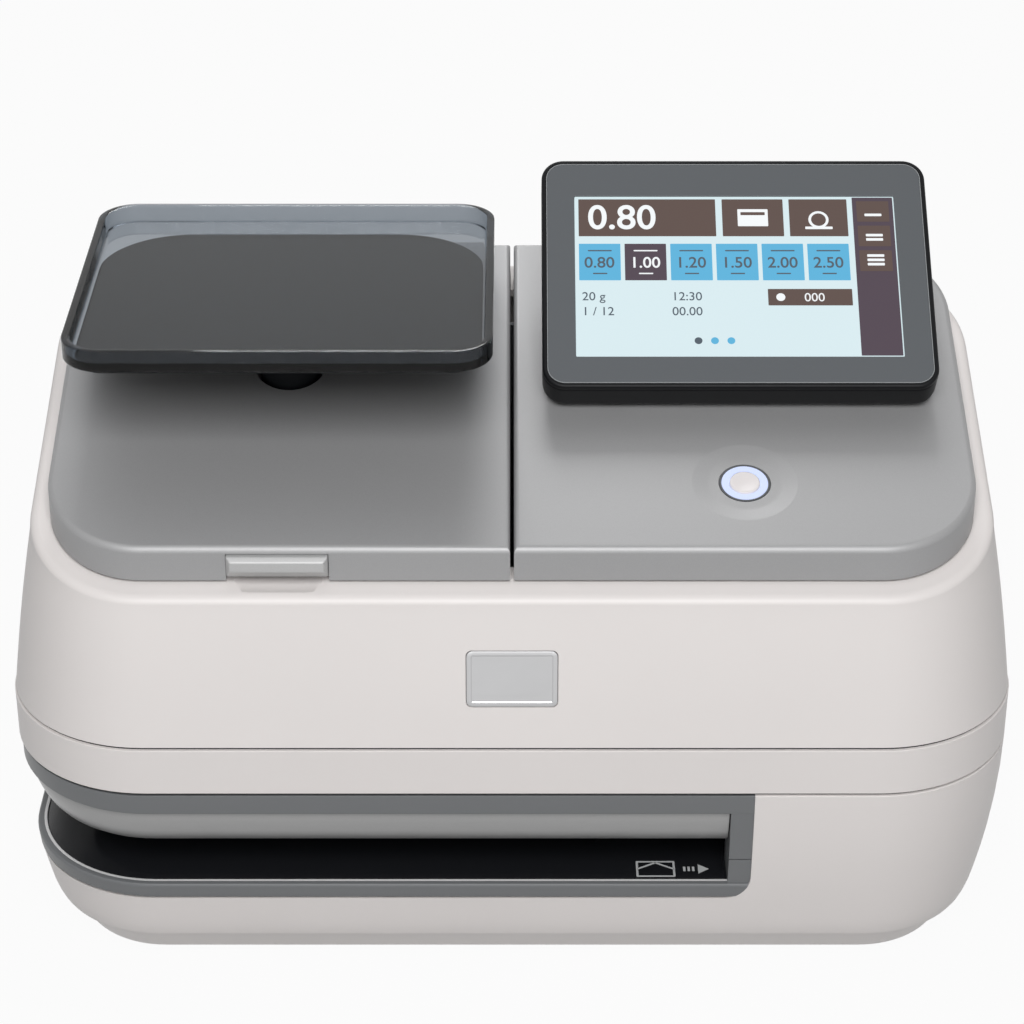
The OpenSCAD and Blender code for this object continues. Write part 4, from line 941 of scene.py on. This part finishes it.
@dataclass
class LetterSlot:
    """The dark slot at the left: bezels, guide lip, table and the mark that shows how a letter goes in."""

    end_x: float = 71.5
    post_x: float = SLOT_POST_X
    back_y: float = 10.0
    post_y: float = SLOT_POST_Y
    table_z: float = 38.4
    ceiling_z: float = 47.0
    bezel_z: float = 68.2
    split_z: float = 49.3

    def build(self) -> None:
        """Makes the pieces from the top down."""
        self.upper_bezel()
        self.guide_lip()
        self.lower_bezel()
        self.table()
        self.mark()

    def kept(self, bench: Bench, x: float, y: float) -> Bench:
        """Keeps the stretch along the left end and the front."""
        return bench.trim((x, 0.0, 0.0), (1.0, 0.0, 0.0)).trim((0.0, y, 0.0), (0.0, 1.0, 0.0))

    def post(self, name: str, low: float, high: float, front: bool) -> Bench:
        """An upright at the slot's right or rear end, following the casing's curve."""
        heights = (high, (low + high) / 2, low)
        lower = [Ring(base_out(z) - 0.9, z) for z in heights]
        bench = Bench(name).loft(CASE, (lower[0], Ring(-4.0, high)), [*lower[1:], Ring(-4.0, low)], Ends.BRIDGED)
        if front:
            bench.trim((self.post_x, 0, 0), (1, 0, 0)).trim((self.end_x, 0, 0), (-1, 0, 0)).trim((0, 0, 0), (0, 1, 0))
        else:
            bench.trim((0, self.post_y, 0), (0, 1, 0)).trim((0, self.back_y, 0), (0, -1, 0)).trim((0, 0, 0), (1, 0, 0))
        return bench

    def upper_bezel(self) -> None:
        """The grey band over the slot, with its posts."""
        upper = (Ring(14.5, 75.2), Ring(14.35, 75.5), Ring(14.0, 75.65), Ring(12.4, 75.65), Ring(12.4, 76.45))
        upper += (Ring(5.0, 76.45),)
        lower = (Ring(14.45, 69.0), Ring(14.2, 68.4), Ring(13.6, self.bezel_z), Ring(5.0, self.bezel_z))
        band = self.kept(Bench("upper_bezel_skin").loft(CASE, upper, lower, Ends.BRIDGED), self.post_x, self.post_y)
        right = self.post("upper_post_right", self.split_z + 0.2, self.bezel_z + 1.0, True)
        left = self.post("upper_post_left", self.split_z + 0.2, self.bezel_z + 1.0, False)
        band.join(right, left).done("body", "bezel_grey", BEZEL_GREY, "upper_bezel")

    def guide_lip(self) -> None:
        """The lip that curves in under the bezel and leads the letter in."""
        curve = ((12.5, 66.3), (12.3, 64.2), (11.8, 61.9), (11.0, 59.5), (9.9, 57.0), (8.5, 54.9), (6.8, 53.4))
        curve += ((4.8, 52.0), (2.4, 50.85), (0.0, 49.65), (-2.5, 48.35), (-5.0, self.ceiling_z))
        inner = ((10.0, self.bezel_z), (9.2, 64.1), (7.2, 59.4), (4.4, 55.4), (0.5, 52.2), (-5.0, 49.3))
        upper = [Ring(12.6, self.bezel_z), *(Ring(out, z) for out, z in inner)]
        lip = Bench("guide_lip_skin").loft(CASE, upper, [Ring(out, z) for out, z in curve], Ends.BRIDGED)
        self.kept(lip, self.end_x - 0.4, self.back_y).done("body", "lip_grey", LIP_GREY, "guide_lip")

    def lower_bezel(self) -> None:
        """The sill in front of the table, its posts and the round corner, with a light strip on the sill's edge that is
        a painted highlight.
        """
        upper = (Ring(12.4, 37.6), Ring(12.3, 38.2), Ring(12.0, 38.62), Ring(11.5, 38.8), Ring(9.6, 38.8))
        upper += (Ring(9.6, 35.4), Ring(6.6, 35.4))
        lower = (Ring(12.05, 33.7), Ring(11.8, 33.45), Ring(11.5, 33.4), Ring(10.2, 33.4), Ring(10.2, 32.6))
        lower += (Ring(6.6, 32.6),)
        sill = self.kept(Bench("lower_bezel_skin").loft(CASE, upper, lower, Ends.BRIDGED), self.post_x, self.post_y)
        right = self.post("lower_post_right", 33.1, self.split_z - 0.2, True)
        left = self.post("lower_post_left", 33.1, self.split_z - 0.2, False)
        for part in (sill, right):
            part.cut(slot_prism("sill_round"), Cut.WITHIN)
        sill.join(right, left).done("body", "bezel_grey", BEZEL_GREY, "lower_bezel")
        # A thin light strip along the sill's top edge: a painted highlight where the edge catches the light.
        rings = (Ring(10.5, 38.7), Ring(10.5, 38.88), Ring(10.4, 38.94), Ring(9.7, 38.94))
        line = Bench("painted_sill_highlight").loft(CASE, rings, (Ring(9.7, 38.7),), Ends.BRIDGED)
        self.kept(line, self.end_x, self.back_y).done("body", "bezel_grey", PAINTED_SILL_HIGHLIGHT)

    def table(self) -> None:
        """The black table, with windows for the pressure rollers."""
        rings = (Ring(9.55, 35.4), Ring(9.55, 38.2), Ring(9.35, self.table_z))
        table = self.kept(Bench("letter_table_skin").loft(CASE, rings), self.end_x - 0.1, self.back_y)
        for number, y in enumerate((-40.0, -12.0)):
            window = Bench(f"roller_window_{number}").block((30.0, y - 8.5, 30.0), (50.0, y + 8.5, 45.0))
            table.cut(window)
        table.done("body", "table_black", TABLE_BLACK, "letter_table")

    def mark(self) -> None:
        """A plain envelope with a striped arrow, printed on the table's edge."""
        top = self.table_z + 0.06
        foot = self.table_z - 0.02
        letter = Outline(41.5, 54.5, -78.2, -69.4, (0.4,) * 4)
        frame_piece = Bench("letter_mark").loft(letter, (Ring(0.0, foot), Ring(0.0, top)), segments=3)
        inside = Outline(42.2, 53.8, -77.5, -70.1, (0.2,) * 4)
        hole = Bench("mark_cutter").loft(inside, (Ring(0.0, self.table_z - 1.0), Ring(0.0, top + 1.0)), segments=3)
        frame_piece.cut(hole)
        strips = []
        for side in (-1.0, 1.0):
            flap = Bench("flap_line").block((-3.9, -0.35, foot), (3.9, 0.35, top))
            strips.append(flap.turn(side * 30.0, "Z").move(48.0 - side * 3.1, -72.1, 0.0))
        for number in range(3):
            x = 57.2 + number * 1.5
            strips.append(Bench("arrow_bar").block((x, -75.0, foot), (x + 0.8, -72.6, top)))
        head = Bench("arrow_head").turned(((3.0, foot), (3.0, top)), 3)
        strips.append(head.turn(-90.0, "Z").resize(0.8, 1.0, 1.0).move(63.4, -73.8, 0.0))
        frame_piece.join(*strips).done("body", "table_black", ICON_GREY)


@dataclass
class Deck:
    """The silver lid at the left and the fixed cover at the right, with the lid's finger tab."""

    split: float = 0.6
    hinge_y: float = 68.0
    hinge_z: float = 191.544
    arms: tuple[float, float] = (-104.2, -23.2)
    grip: tuple[float, float] = (-90.3, -58.1)

    def build(self) -> None:
        """Makes both covers and the tab."""
        self.lid()
        self.cover()
        self.tab()

    def shell(self, name: str, outline: Outline) -> Bench:
        """A cover with a turned-down skirt and an inner lip on the rim."""
        top = ((0.0, -1.9), (-0.06, -1.4), (-0.3, -0.85), (-0.75, -0.38), (-1.3, -0.1), (-1.9, 0.0))
        upper = [Ring(0.0, 148.35, 1.0), *(Ring(out, round(DECK_Z + dz, 2), 1.0) for out, dz in top)]
        lower = [Ring(-0.35, 148.0, 1.0), Ring(-3.2, 148.0, 1.0), Ring(-3.2, 147.1, 1.0), Ring(-4.4, 147.1, 1.0)]
        lower += [Ring(-4.4, 157.4, 1.0)]
        return Bench(name).loft(outline, upper, lower)

    def lid(self) -> None:
        """The lid with its hinge knuckles, the tab's notch and the hole for the scale's post."""
        outline = Outline(-HALF_W, -self.split, -HALF_D, HALF_D, (DECK_R, 0.0, 0.0, DECK_R))
        lid = self.shell("lid_cover_skin", outline)
        for x0, x1 in ((-123.6, -107.6), (-19.8, -3.8)):
            lid.cut(self.knuckle(x0, x1), Cut.ADDED)
        for x in self.arms:
            low = (x - 3.4, self.hinge_y - 8.0, self.hinge_z - 9.0)
            lid.cut(Bench("arm_notch").block(low, (x + 3.4, self.hinge_y + 8.0, self.hinge_z + 3.6)))
        low = (self.grip[0] - 0.2, -HALF_D - 5.0, 142.0)
        lid.cut(Bench("tab_notch").block(low, (self.grip[1] + 0.2, -HALF_D + 2.5, DECK_Z - 2.0)))
        hole = Bench("post_hole").turned(((12.0, 120.0), (12.0, 260.0)), 72)
        lid.cut(hole.move(-74.2, 10.8, 0.0))
        lid.soften(0.25, 2, 50.0).done("lid", "deck_silver", DECK_SILVER, "lid_cover")

    def knuckle(self, x0: float, x1: float) -> Bench:
        """A hinge knuckle under the lid's rear edge."""
        profile = ((2.8, x0), (3.2, x0 + 0.4), (3.2, x1 - 0.4), (2.8, x1))
        return Bench("knuckle").turned(profile, 32).turn(90.0, "Y").move(0.0, self.hinge_y, self.hinge_z)

    def cover(self) -> None:
        """The fixed cover, dished round the power button."""
        outline = Outline(self.split, HALF_W, -HALF_D, HALF_D, (0.0, DECK_R, DECK_R, 0.0))
        cover = self.shell("right_cover_skin", outline)
        z = deck_z(BUTTON_Y)
        lean = math.degrees(SLOPE)
        dish = ((11.0, -0.46), (11.8, -0.44), (12.5, -0.4), (16.3, -0.06), (17.0, -0.01), (17.6, 0.02), (17.6, 4.0))
        cover.cut(Bench("dish_cutter").turned(dish, 128).turn(lean, "X").move(BUTTON_X, BUTTON_Y, z))
        hole = Bench("button_hole").turned(((8.4, -20.0), (8.4, 20.0)), 96).turn(lean, "X")
        cover.cut(hole.move(BUTTON_X, BUTTON_Y, z))
        cover.soften(0.2, 2, 50.0).done("body", "deck_silver", DECK_SILVER, "right_cover", angle=28.0)

    def tab(self) -> None:
        """The finger tab with a bevelled face."""
        tab = Bench("finger_tab").block((self.grip[0], -73.5, 150.4), (self.grip[1], -68.0, 157.6))
        tab.pick(lambda p: p.y < -73.0)
        bpy.ops.mesh.inset(thickness=1.3 * MM, depth=0.0, use_even_offset=True)
        tab.pick(lambda p: p.y < -73.0 and not self.inside_face(p)).move(0.0, 1.7, 0.0)
        tab.pick(lambda p: p.y < -73.0 and p.z < 153.0).move(0.0, 0.0, 1.3)
        tab.soften(0.35, 2, 20.0)
        clip = Bench("tab_clip").block((self.grip[0] - 4.0, -68.0, 149.0), (self.grip[1] + 4.0, -66.2, 157.0))
        tab.join(clip.soften(0.2)).done("lid", "deck_silver", TAB_SILVER, "lid_grip")

    def inside_face(self, place: Vector) -> bool:
        """Whether a point of the tab's front belongs to its inner face."""
        return self.grip[0] + 1.0 < place.x < self.grip[1] - 1.0 and 151.4 < place.z < 156.6


@dataclass
class Scale:
    """The weighing tray on its carrier and post."""

    tray: Outline = Outline(-142.45, -5.95, -48.7, 70.3, (13.0,) * 4)
    carrier: Outline = Outline(-139.35, -9.05, -45.6, 58.3, (9.9, 9.9, 30.0, 30.0))

    def build(self) -> None:
        """Makes tray, carrier and post."""
        lower = (Ring(-0.12, 211.2), Ring(-0.45, 210.75), Ring(-1.1, 210.5))
        upper = [Ring(0.0, 211.8), Ring(0.0, 217.3), Ring(-0.15, 217.75), Ring(-0.6, 218.0), Ring(-2.1, 218.0)]
        upper += [Ring(-2.5, 217.8), Ring(-2.7, 217.3), Ring(-2.78, 213.6), Ring(-3.0, 213.0), Ring(-3.5, 212.65)]
        upper += [Ring(-4.3, 212.5)]
        tray = Bench("weighing_tray_skin").loft(self.tray, upper, lower)
        tray.done("tray", "smoked_clear", SMOKED, "weighing_tray")
        upper = (Ring(0.0, 209.5), Ring(0.0, 209.9), Ring(-0.2, 210.3), Ring(-0.8, 210.46))
        carrier = Bench("tray_carrier_skin").loft(self.carrier, upper, (Ring(-3.2, 207.5),))
        carrier.done("scale", "inner_black", PLATE_BLACK, "tray_carrier")
        Bench("scale_post_skin").copied("scale_post").soften(0.5, 3).done(
            "scale", "inner_black", PLATE_BLACK, "scale_post"
        )


@dataclass
class Display:
    """The tilting display with its lit screen."""

    x: float = 75.0
    hinge_y: float = -7.3
    hinge_z: float = 188.011
    tilt: float = 33.5
    body: Outline = Outline(-65.0, 65.0, -7.0, 82.2, (7.5,) * 4)
    screen: Outline = Outline(-54.0, 54.0, 4.65, 67.55, (0.5,) * 4)
    face: float = 6.7
    layer: float = 0.03
    ink: float = 0.05
    marks: dict[Finish, list[Bench]] = field(default_factory=dict)

    def build(self) -> None:
        """Makes the shells, the screen and what it shows."""
        self.shells()
        self.screen_plate()
        self.brackets()

    def placed(self, bench: Bench) -> Bench:
        """Takes a form from the display's own frame to its place."""
        bench.edit()
        return bench.turn(self.tilt, "X").move(self.x, self.hinge_y, self.hinge_z)

    def shells(self) -> None:
        """Rear pan, black front frame, the grey panel in it and a light ring round the panel that is a painted
        highlight on its bevel.
        """
        lower = (Ring(0.0, -3.0), Ring(-0.25, -4.4), Ring(-0.95, -5.5), Ring(-2.0, -6.2), Ring(-3.4, -6.5))
        upper = (Ring(0.0, 4.2), Ring(-0.2, 4.65), Ring(-0.5, 4.8), Ring(-2.2, 4.8), Ring(-2.2, -4.3))
        pan = Bench("display_back_skin").loft(self.body, upper, lower, segments=12)
        for x in (-40.0, 40.0):
            boss = Bench("boss").block((x - 13.0, -5.8, -5.4), (x + 13.0, 9.0, 3.0))
            pan.cut(boss, Cut.ADDED)
            pan.cut(Bench("lug_pocket").block((x - 4.4, -4.8, -11.5), (x + 4.4, 6.0, 4.4)))
        self.placed(pan).done("display", "display_black", DISPLAY_BLACK, "display_back")
        rings = (Ring(0.0, 5.2), Ring(0.0, 6.2), Ring(-0.12, 6.6), Ring(-0.4, 6.88), Ring(-0.8, 7.0), Ring(-1.5, 7.0))
        rings += (Ring(-1.6, 6.55), Ring(-3.0, 6.55))
        front = Bench("display_front_skin").loft(self.body, rings, (Ring(-0.4, 4.8),), segments=12)
        front.cut(self.window())
        self.placed(front).done("display", "display_black", DISPLAY_BLACK, "display_front")
        rings = (Ring(-1.9, 6.5), Ring(-1.9, 6.85), Ring(-2.0, 6.96), Ring(-2.2, 7.0))
        panel = Bench("display_panel").loft(self.body, rings, segments=12).cut(self.window())
        self.placed(panel.soften(0.2, 2, 50.0)).done("display", "display_grey", DISPLAY_GREY)
        # A light ring between frame and panel: a painted highlight where the bevel catches the light.
        rings = (Ring(-1.62, 6.5), Ring(-1.62, 6.98), Ring(-1.88, 6.98))
        line = Bench("panel_highlight_line").loft(self.body, rings, (Ring(-1.88, 6.5),), Ends.BRIDGED, 12)
        self.placed(line).done("display", "display_grey", PAINTED_EDGE_HIGHLIGHT)

    def window(self) -> Bench:
        """A cutter for the screen's window."""
        return Bench("window").loft(self.screen, (Ring(0.0, 0.0), Ring(0.0, 20.0)), segments=6)

    def screen_plate(self) -> None:
        """The lit plate and generic tiles, numbers and signs on it."""
        grown = Outline(-53.9, 53.9, 4.75, 67.45, (0.4,) * 4)
        plate = Bench("screen_face").loft(grown, (Ring(0.0, 5.3), Ring(0.0, self.face)), segments=6)
        self.placed(plate).done("display", "screen", SCREEN_PALE, "screen_glass")
        self.side_bar()
        self.top_tiles()
        self.rate_tiles()
        self.footer()
        for finish, marks in self.marks.items():
            marks[0].join(*marks[1:])
            self.placed(marks[0]).done("display", "screen", finish)

    def side_bar(self) -> None:
        """A dark bar at the right with three tiles and their signs."""
        self.tile(SCREEN_DARK, 39.8, 53.5, 5.1, 67.1)
        for row, y in enumerate((57.4, 47.6, 37.8)):
            self.tile(SCREEN_BROWN, 41.2, 52.1, y, y + 8.2, 1)
            for bar in range(row + 1):
                self.tile(SCREEN_WHITE, 43.8, 49.5, y + 2.2 + 1.7 * bar, y + 3.2 + 1.7 * bar, 2)

    def top_tiles(self) -> None:
        """The amount on a wide tile, and two tiles with a letter and a weight."""
        self.tile(SCREEN_BROWN, -52.6, -6.4, 51.6, 66.4)
        self.words(SCREEN_WHITE, "0.80", -49.6, 54.6, 10.0, 1, 0.016)
        self.tile(SCREEN_BROWN, -4.2, 16.4, 51.6, 66.4)
        self.tile(SCREEN_WHITE, 1.0, 11.2, 55.6, 62.4, 1)
        self.tile(SCREEN_BROWN, 2.0, 10.2, 60.0, 61.2, 2)
        self.tile(SCREEN_BROWN, 18.4, 38.0, 51.6, 66.4)
        self.dot(SCREEN_WHITE, 28.2, 58.2, 3.4, 1)
        self.dot(SCREEN_BROWN, 28.2, 58.2, 2.5, 2)
        self.tile(SCREEN_WHITE, 23.6, 32.8, 54.4, 55.4, 3)

    def rate_tiles(self) -> None:
        """A row of blue tiles with plain numbers, the chosen one dark."""
        for number, rate in enumerate(("0.80", "1.00", "1.20", "1.50", "2.00", "2.50")):
            x = -52.6 + number * 15.3
            chosen = number == 1
            self.tile(SCREEN_DARK if chosen else SCREEN_BLUE, x, x + 13.9, 34.2, 48.6)
            ink = SCREEN_WHITE if chosen else SCREEN_INK
            self.words(ink, rate, x + 1.7, 39.2, 4.4, 1, 0.014)
            self.tile(ink, x + 4.6, x + 9.4, 36.6, 37.1, 1)
            self.tile(ink, x + 3.0, x + 11.0, 45.6, 46.1, 1)

    def footer(self) -> None:
        """Weight, count and time in small figures, a tile with a line and the pager's dots."""
        self.words(SCREEN_INK, "20 g", -51.8, 26.4, 3.4)
        self.words(SCREEN_INK, "1 / 12", -51.8, 20.6, 3.4)
        self.words(SCREEN_INK, "12:30", -22.0, 26.4, 3.4)
        self.words(SCREEN_INK, "00.00", -22.0, 20.6, 3.4)
        self.tile(SCREEN_BROWN, 10.0, 38.0, 24.4, 30.8)
        self.dot(SCREEN_WHITE, 14.2, 27.6, 1.5, 1)
        self.words(SCREEN_WHITE, "000", 22.0, 26.0, 3.4, 1)
        self.dot(SCREEN_INK, -13.6, 10.8, 1.3)
        self.dot(SCREEN_BLUE, -8.2, 10.8, 1.3)
        self.dot(SCREEN_BLUE, -2.8, 10.8, 1.3)

    def mark(self, finish: Finish, bench: Bench) -> None:
        """Keeps a mark with the others of its colour."""
        self.marks.setdefault(finish, []).append(bench)

    def tile(self, finish: Finish, x0: float, x1: float, y0: float, y1: float, level: int = 0) -> None:
        """A tile on the screen, one level over another."""
        low = self.face + self.layer * level
        outline = Outline(x0, x1, y0, y1, (0.2,) * 4)
        bench = Bench(f"{finish.name}_marks")
        self.mark(finish, bench.loft(outline, (Ring(0.0, low), Ring(0.0, low + self.ink)), segments=2))

    def dot(self, finish: Finish, x: float, y: float, radius: float, level: int = 0) -> None:
        """A round mark on the screen."""
        low = self.face + self.layer * level
        bench = Bench(f"{finish.name}_marks").turned(((radius, low), (radius, low + self.ink)), 32)
        self.mark(finish, bench.move(x, y, 0.0))

    def words(
        self, finish: Finish, text: str, x: float, y: float, size: float, level: int = 0, weight: float = 0.004
    ) -> None:
        """Numbers on the screen, made into a mesh.

        Args:
            finish: Their colour.
            text: What they say.
            x: Their left end.
            y: Their foot.
            size: Their height.
            level: How many marks lie under them.
            weight: What is added to their strokes, as a share of the height.
        """
        bench = Bench(f"{finish.name}_marks")
        bench.clear()
        bpy.ops.object.text_add(location=(0.0, 0.0, 0.0))
        letters = bpy.context.object
        letters.data.body = text
        letters.data.size = size * MM * 1.35
        letters.data.extrude = self.ink / 2 * MM
        letters.data.offset = weight * size * MM
        bpy.ops.object.convert(target="MESH")
        bench.piece = bpy.context.object
        bench.piece.name = bench.name
        bench.edit()
        bpy.ops.mesh.remove_doubles(threshold=0.001 * MM)
        self.mark(finish, bench.move(x, y, self.face + self.layer * level + self.layer))

    def brackets(self) -> None:
        """The lugs that carry the display."""
        Bench("display_lugs").copied("display_brackets").soften(0.4, 2).done(
            "body", "display_black", DISPLAY_BLACK, "display_brackets"
        )


@dataclass
class PowerButton:
    """The button in the right cover: dark bezel, lit ring and white cap."""

    def build(self) -> None:
        """Makes bezel, ring and cap."""
        Bench("button_bezel_ring").copied("button_bezel").soften(0.2, 2, 40.0).done(
            "body", "inner_grey", RING_DARK, "button_bezel"
        )
        Bench("button_light").copied("light_ring").soften(0.15, 2, 40.0).done("body", "glow", GLOW, "light_ring")
        dished = ((4.9, -6.0), (4.9, -0.5), (4.82, -0.2), (4.6, -0.04), (4.3, 0.0), (3.7, -0.07), (2.8, -0.2))
        dished += ((1.6, -0.31), (0.5, -0.36))
        cap = Bench("button_face").turned(dished, 96).turn(math.degrees(SLOPE), "X")
        cap.move(BUTTON_X, BUTTON_Y, deck_z(BUTTON_Y)).done("power_button", "button_white", BUTTON_WHITE, "button_cap")


@dataclass(frozen=True)
class Inner:
    """A solid that keeps its shape and gets a finish and, unless the edge is 0, rounded edges."""

    node: str
    slot: str
    finish: Finish
    edge: float = 0.3


@dataclass
class Insides:
    """The chassis, print unit, drive, electronics and sockets."""

    spring_keep: float = 0.52
    parts: list[Inner] = field(
        default_factory=lambda: [
            Inner("base_plate", "sheet", SHEET, 0.3),
            Inner("base_screws", "steel", STEEL, 0.2),
            Inner("letter_stops", "table_black", TABLE_BLACK, 0.4),
            Inner("chassis", "sheet", SHEET, 0.25),
            Inner("print_deck", "sheet", SHEET, 0.25),
            Inner("lid_hinge_pins", "steel", STEEL, 0.3),
            Inner("load_cell", "alloy", ALLOY, 0.4),
            Inner("button_board", "board", BOARD, 0.15),
            Inner("lcd_panel", "inner_grey", INNER_GREY, 0.2),
            Inner("display_pins", "steel", STEEL, 0.2),
            Inner("front_rail", "sheet", SHEET, 0.25),
            Inner("guide_rods", "steel", STEEL, 0.4),
            Inner("print_carriage", "inner_black", INNER_BLACK, 0.0),
            Inner("ink_cartridge_left", "ink", INK, 0.6),
            Inner("ink_cartridge_right", "ink", INK, 0.6),
            Inner("latch_left", "latch_green", LATCH_GREEN, 0.5),
            Inner("latch_right", "latch_green", LATCH_GREEN, 0.5),
            Inner("carriage_screw", "steel", STEEL, 0.3),
            Inner("carriage_motor", "motor", MOTOR, 0.5),
            Inner("capping_station", "rubber", RUBBER, 0.4),
            Inner("feed_shaft", "steel", STEEL, 0.3),
            Inner("feed_rollers", "rubber", RUBBER, 0.6),
            Inner("feed_pulley", "inner_black", INNER_BLACK, 0.3),
            Inner("feed_bearings", "brass", BRASS, 0.4),
            Inner("drive_motor", "motor", MOTOR, 0.6),
            Inner("motor_pulley", "brass", BRASS, 0.3),
            Inner("drive_belt", "rubber", RUBBER, 0.2),
            Inner("pressure_bracket", "sheet", SHEET, 0.3),
            Inner("pressure_arm", "sheet", SHEET, 0.3),
            Inner("pressure_rollers", "rubber", RUBBER, 0.5),
            Inner("main_board", "board", BOARD, 0.15),
            Inner("security_module", "inner_grey", INNER_GREY, 0.5),
            Inner("power_supply", "sheet", SHEET, 0.5),
            Inner("connector_panel", "inner_black", INNER_BLACK, 0.0),
            Inner("power_inlet", "inner_black", INNER_BLACK, 0.3),
            Inner("data_ports", "steel", STEEL, 0.2),
        ]
    )

    def build(self) -> None:
        """Dresses each solid in turn."""
        homes = {node: body for body, nodes in frame["record"]["behaviour"]["bodies"].items() for node in nodes}
        for part in self.parts:
            if part.edge:
                bench = Bench(f"{part.node}_skin").copied(part.node).soften(part.edge, 2, 38.0)
                bench.done(homes[part.node], part.slot, part.finish, part.node)
            else:
                self.dress(part)
        self.springs()

    def springs(self) -> None:
        """Coil springs copied from their solid and given a mesh of their own."""
        coils = Bench("pressure_springs_skin").copied("pressure_springs")
        piece = coils.done("body", "steel", STEEL, "pressure_springs", angle=50.0)
        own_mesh(piece)

    def dress(self, part: Inner) -> None:
        """Gives a solid its finish and leaves its shape."""
        node = frame["nodes"][part.node]
        node.data.materials.clear()
        node.data.materials.append(part.finish.material())
        LOG.info("%s: solid kept, new finish", part.node)


@dataclass
class Studio:
    """Pale floor, soft lamps, white surroundings and the camera; lamps by place and width in metres and watts."""

    lamps: tuple[tuple[str, Point, float, float], ...] = (
        ("top", (0.0, 0.95, 1.15), 0.5, 6.0),
        ("front", (0.0, -1.2, 1.3), 0.8, 20.5),
        ("fill", (0.0, -1.5, 0.35), 1.0, 2.4),
    )

    def build(self) -> None:
        """Sets the stage."""
        self.camera()
        self.floor()
        self.world()
        for lamp in self.lamps:
            self.lamp(*lamp)
        bpy.context.scene.view_settings.view_transform = "Standard"

    def camera(self) -> None:
        """The camera at the photograph's place."""
        eye = bpy.data.objects.new("camera", bpy.data.cameras.new("camera"))
        bpy.context.scene.collection.objects.link(eye)
        eye.location = (0.0, -0.8497, 0.605)
        eye.rotation_euler = (math.radians(61.0), 0.0, 0.0)
        eye.data.lens = 100.2
        eye.data.sensor_width = 36.0
        eye.data.clip_start = 0.01
        bpy.context.scene.camera = eye

    def floor(self) -> None:
        """A wide pale floor that keeps the object's shadow."""
        Bench.clear()
        bpy.ops.mesh.primitive_plane_add(size=8.0, location=(0.0, 0.0, -0.0002))
        plane = bpy.context.object
        plane.name = "floor"
        sheet = Sheet("floor")
        ray = sheet.node("ShaderNodeLightPath", out="Is Camera Ray")
        glossy = sheet.node("ShaderNodeLightPath", out="Is Glossy Ray")
        clear = sheet.node("ShaderNodeLightPath", out="Is Transmission Ray")
        seen = (ray + glossy + clear).math("MINIMUM", 1.0)
        tone = sheet.mix((0.42, 0.42, 0.42, 1.0), (0.45, 0.45, 0.45, 1.0), sheet.noise(300.0))
        pale = sheet.node("ShaderNodeBsdfDiffuse", None, {"Color": tone})
        white = sheet.node("ShaderNodeEmission", None, {"Color": (1.0, 1.0, 1.0, 1.0), "Strength": 1.0})
        sheet.output(sheet.node("ShaderNodeMixShader", None, {0: seen * 0.95, 1: pale, 2: white}))
        plane.data.materials.append(sheet.material)

    def world(self) -> None:
        """White to the eye and in reflections, softer as light."""
        world = bpy.data.worlds.new("studio")
        world.use_nodes = True
        bpy.context.scene.world = world
        nodes, links = world.node_tree.nodes, world.node_tree.links
        back = nodes["Background"]
        path = nodes.new("ShaderNodeLightPath")
        total = nodes.new("ShaderNodeMath")
        total.operation = "MAXIMUM"
        links.new(path.outputs["Is Camera Ray"], total.inputs[0])
        links.new(path.outputs["Is Transmission Ray"], total.inputs[1])
        shown = nodes.new("ShaderNodeMath")
        shown.operation = "MAXIMUM"
        links.new(total.outputs[0], shown.inputs[0])
        links.new(path.outputs["Is Glossy Ray"], shown.inputs[1])
        level = nodes.new("ShaderNodeMapRange")
        level.inputs["To Min"].default_value = 0.14
        level.inputs["To Max"].default_value = 1.0
        links.new(shown.outputs[0], level.inputs["Value"])
        links.new(level.outputs[0], back.inputs["Strength"])
        back.inputs["Color"].default_value = (1.0, 1.0, 1.0, 1.0)

    def lamp(self, name: str, place: Point, size: float, power: float) -> None:
        """A soft square lamp that points at the deck."""
        lamp = bpy.data.objects.new(name, bpy.data.lights.new(name, "AREA"))
        bpy.context.scene.collection.objects.link(lamp)
        lamp.location = place
        aim = Vector((0.0, 0.0, 0.12)) - Vector(place)
        lamp.rotation_euler = aim.to_track_quat("-Z", "Y").to_euler()
        lamp.data.size = size
        lamp.data.energy = power


def main() -> None:
    """Builds the sub-assemblies in order."""
    logging.basicConfig(level=logging.INFO, format="%(message)s")
    for assembly in (Studio(), Casing(), LetterSlot(), Deck(), Scale(), Display(), PowerButton(), Insides()):
        LOG.info("building %s", type(assembly).__name__)
        assembly.build()


if __name__ == "__main__":
    main()
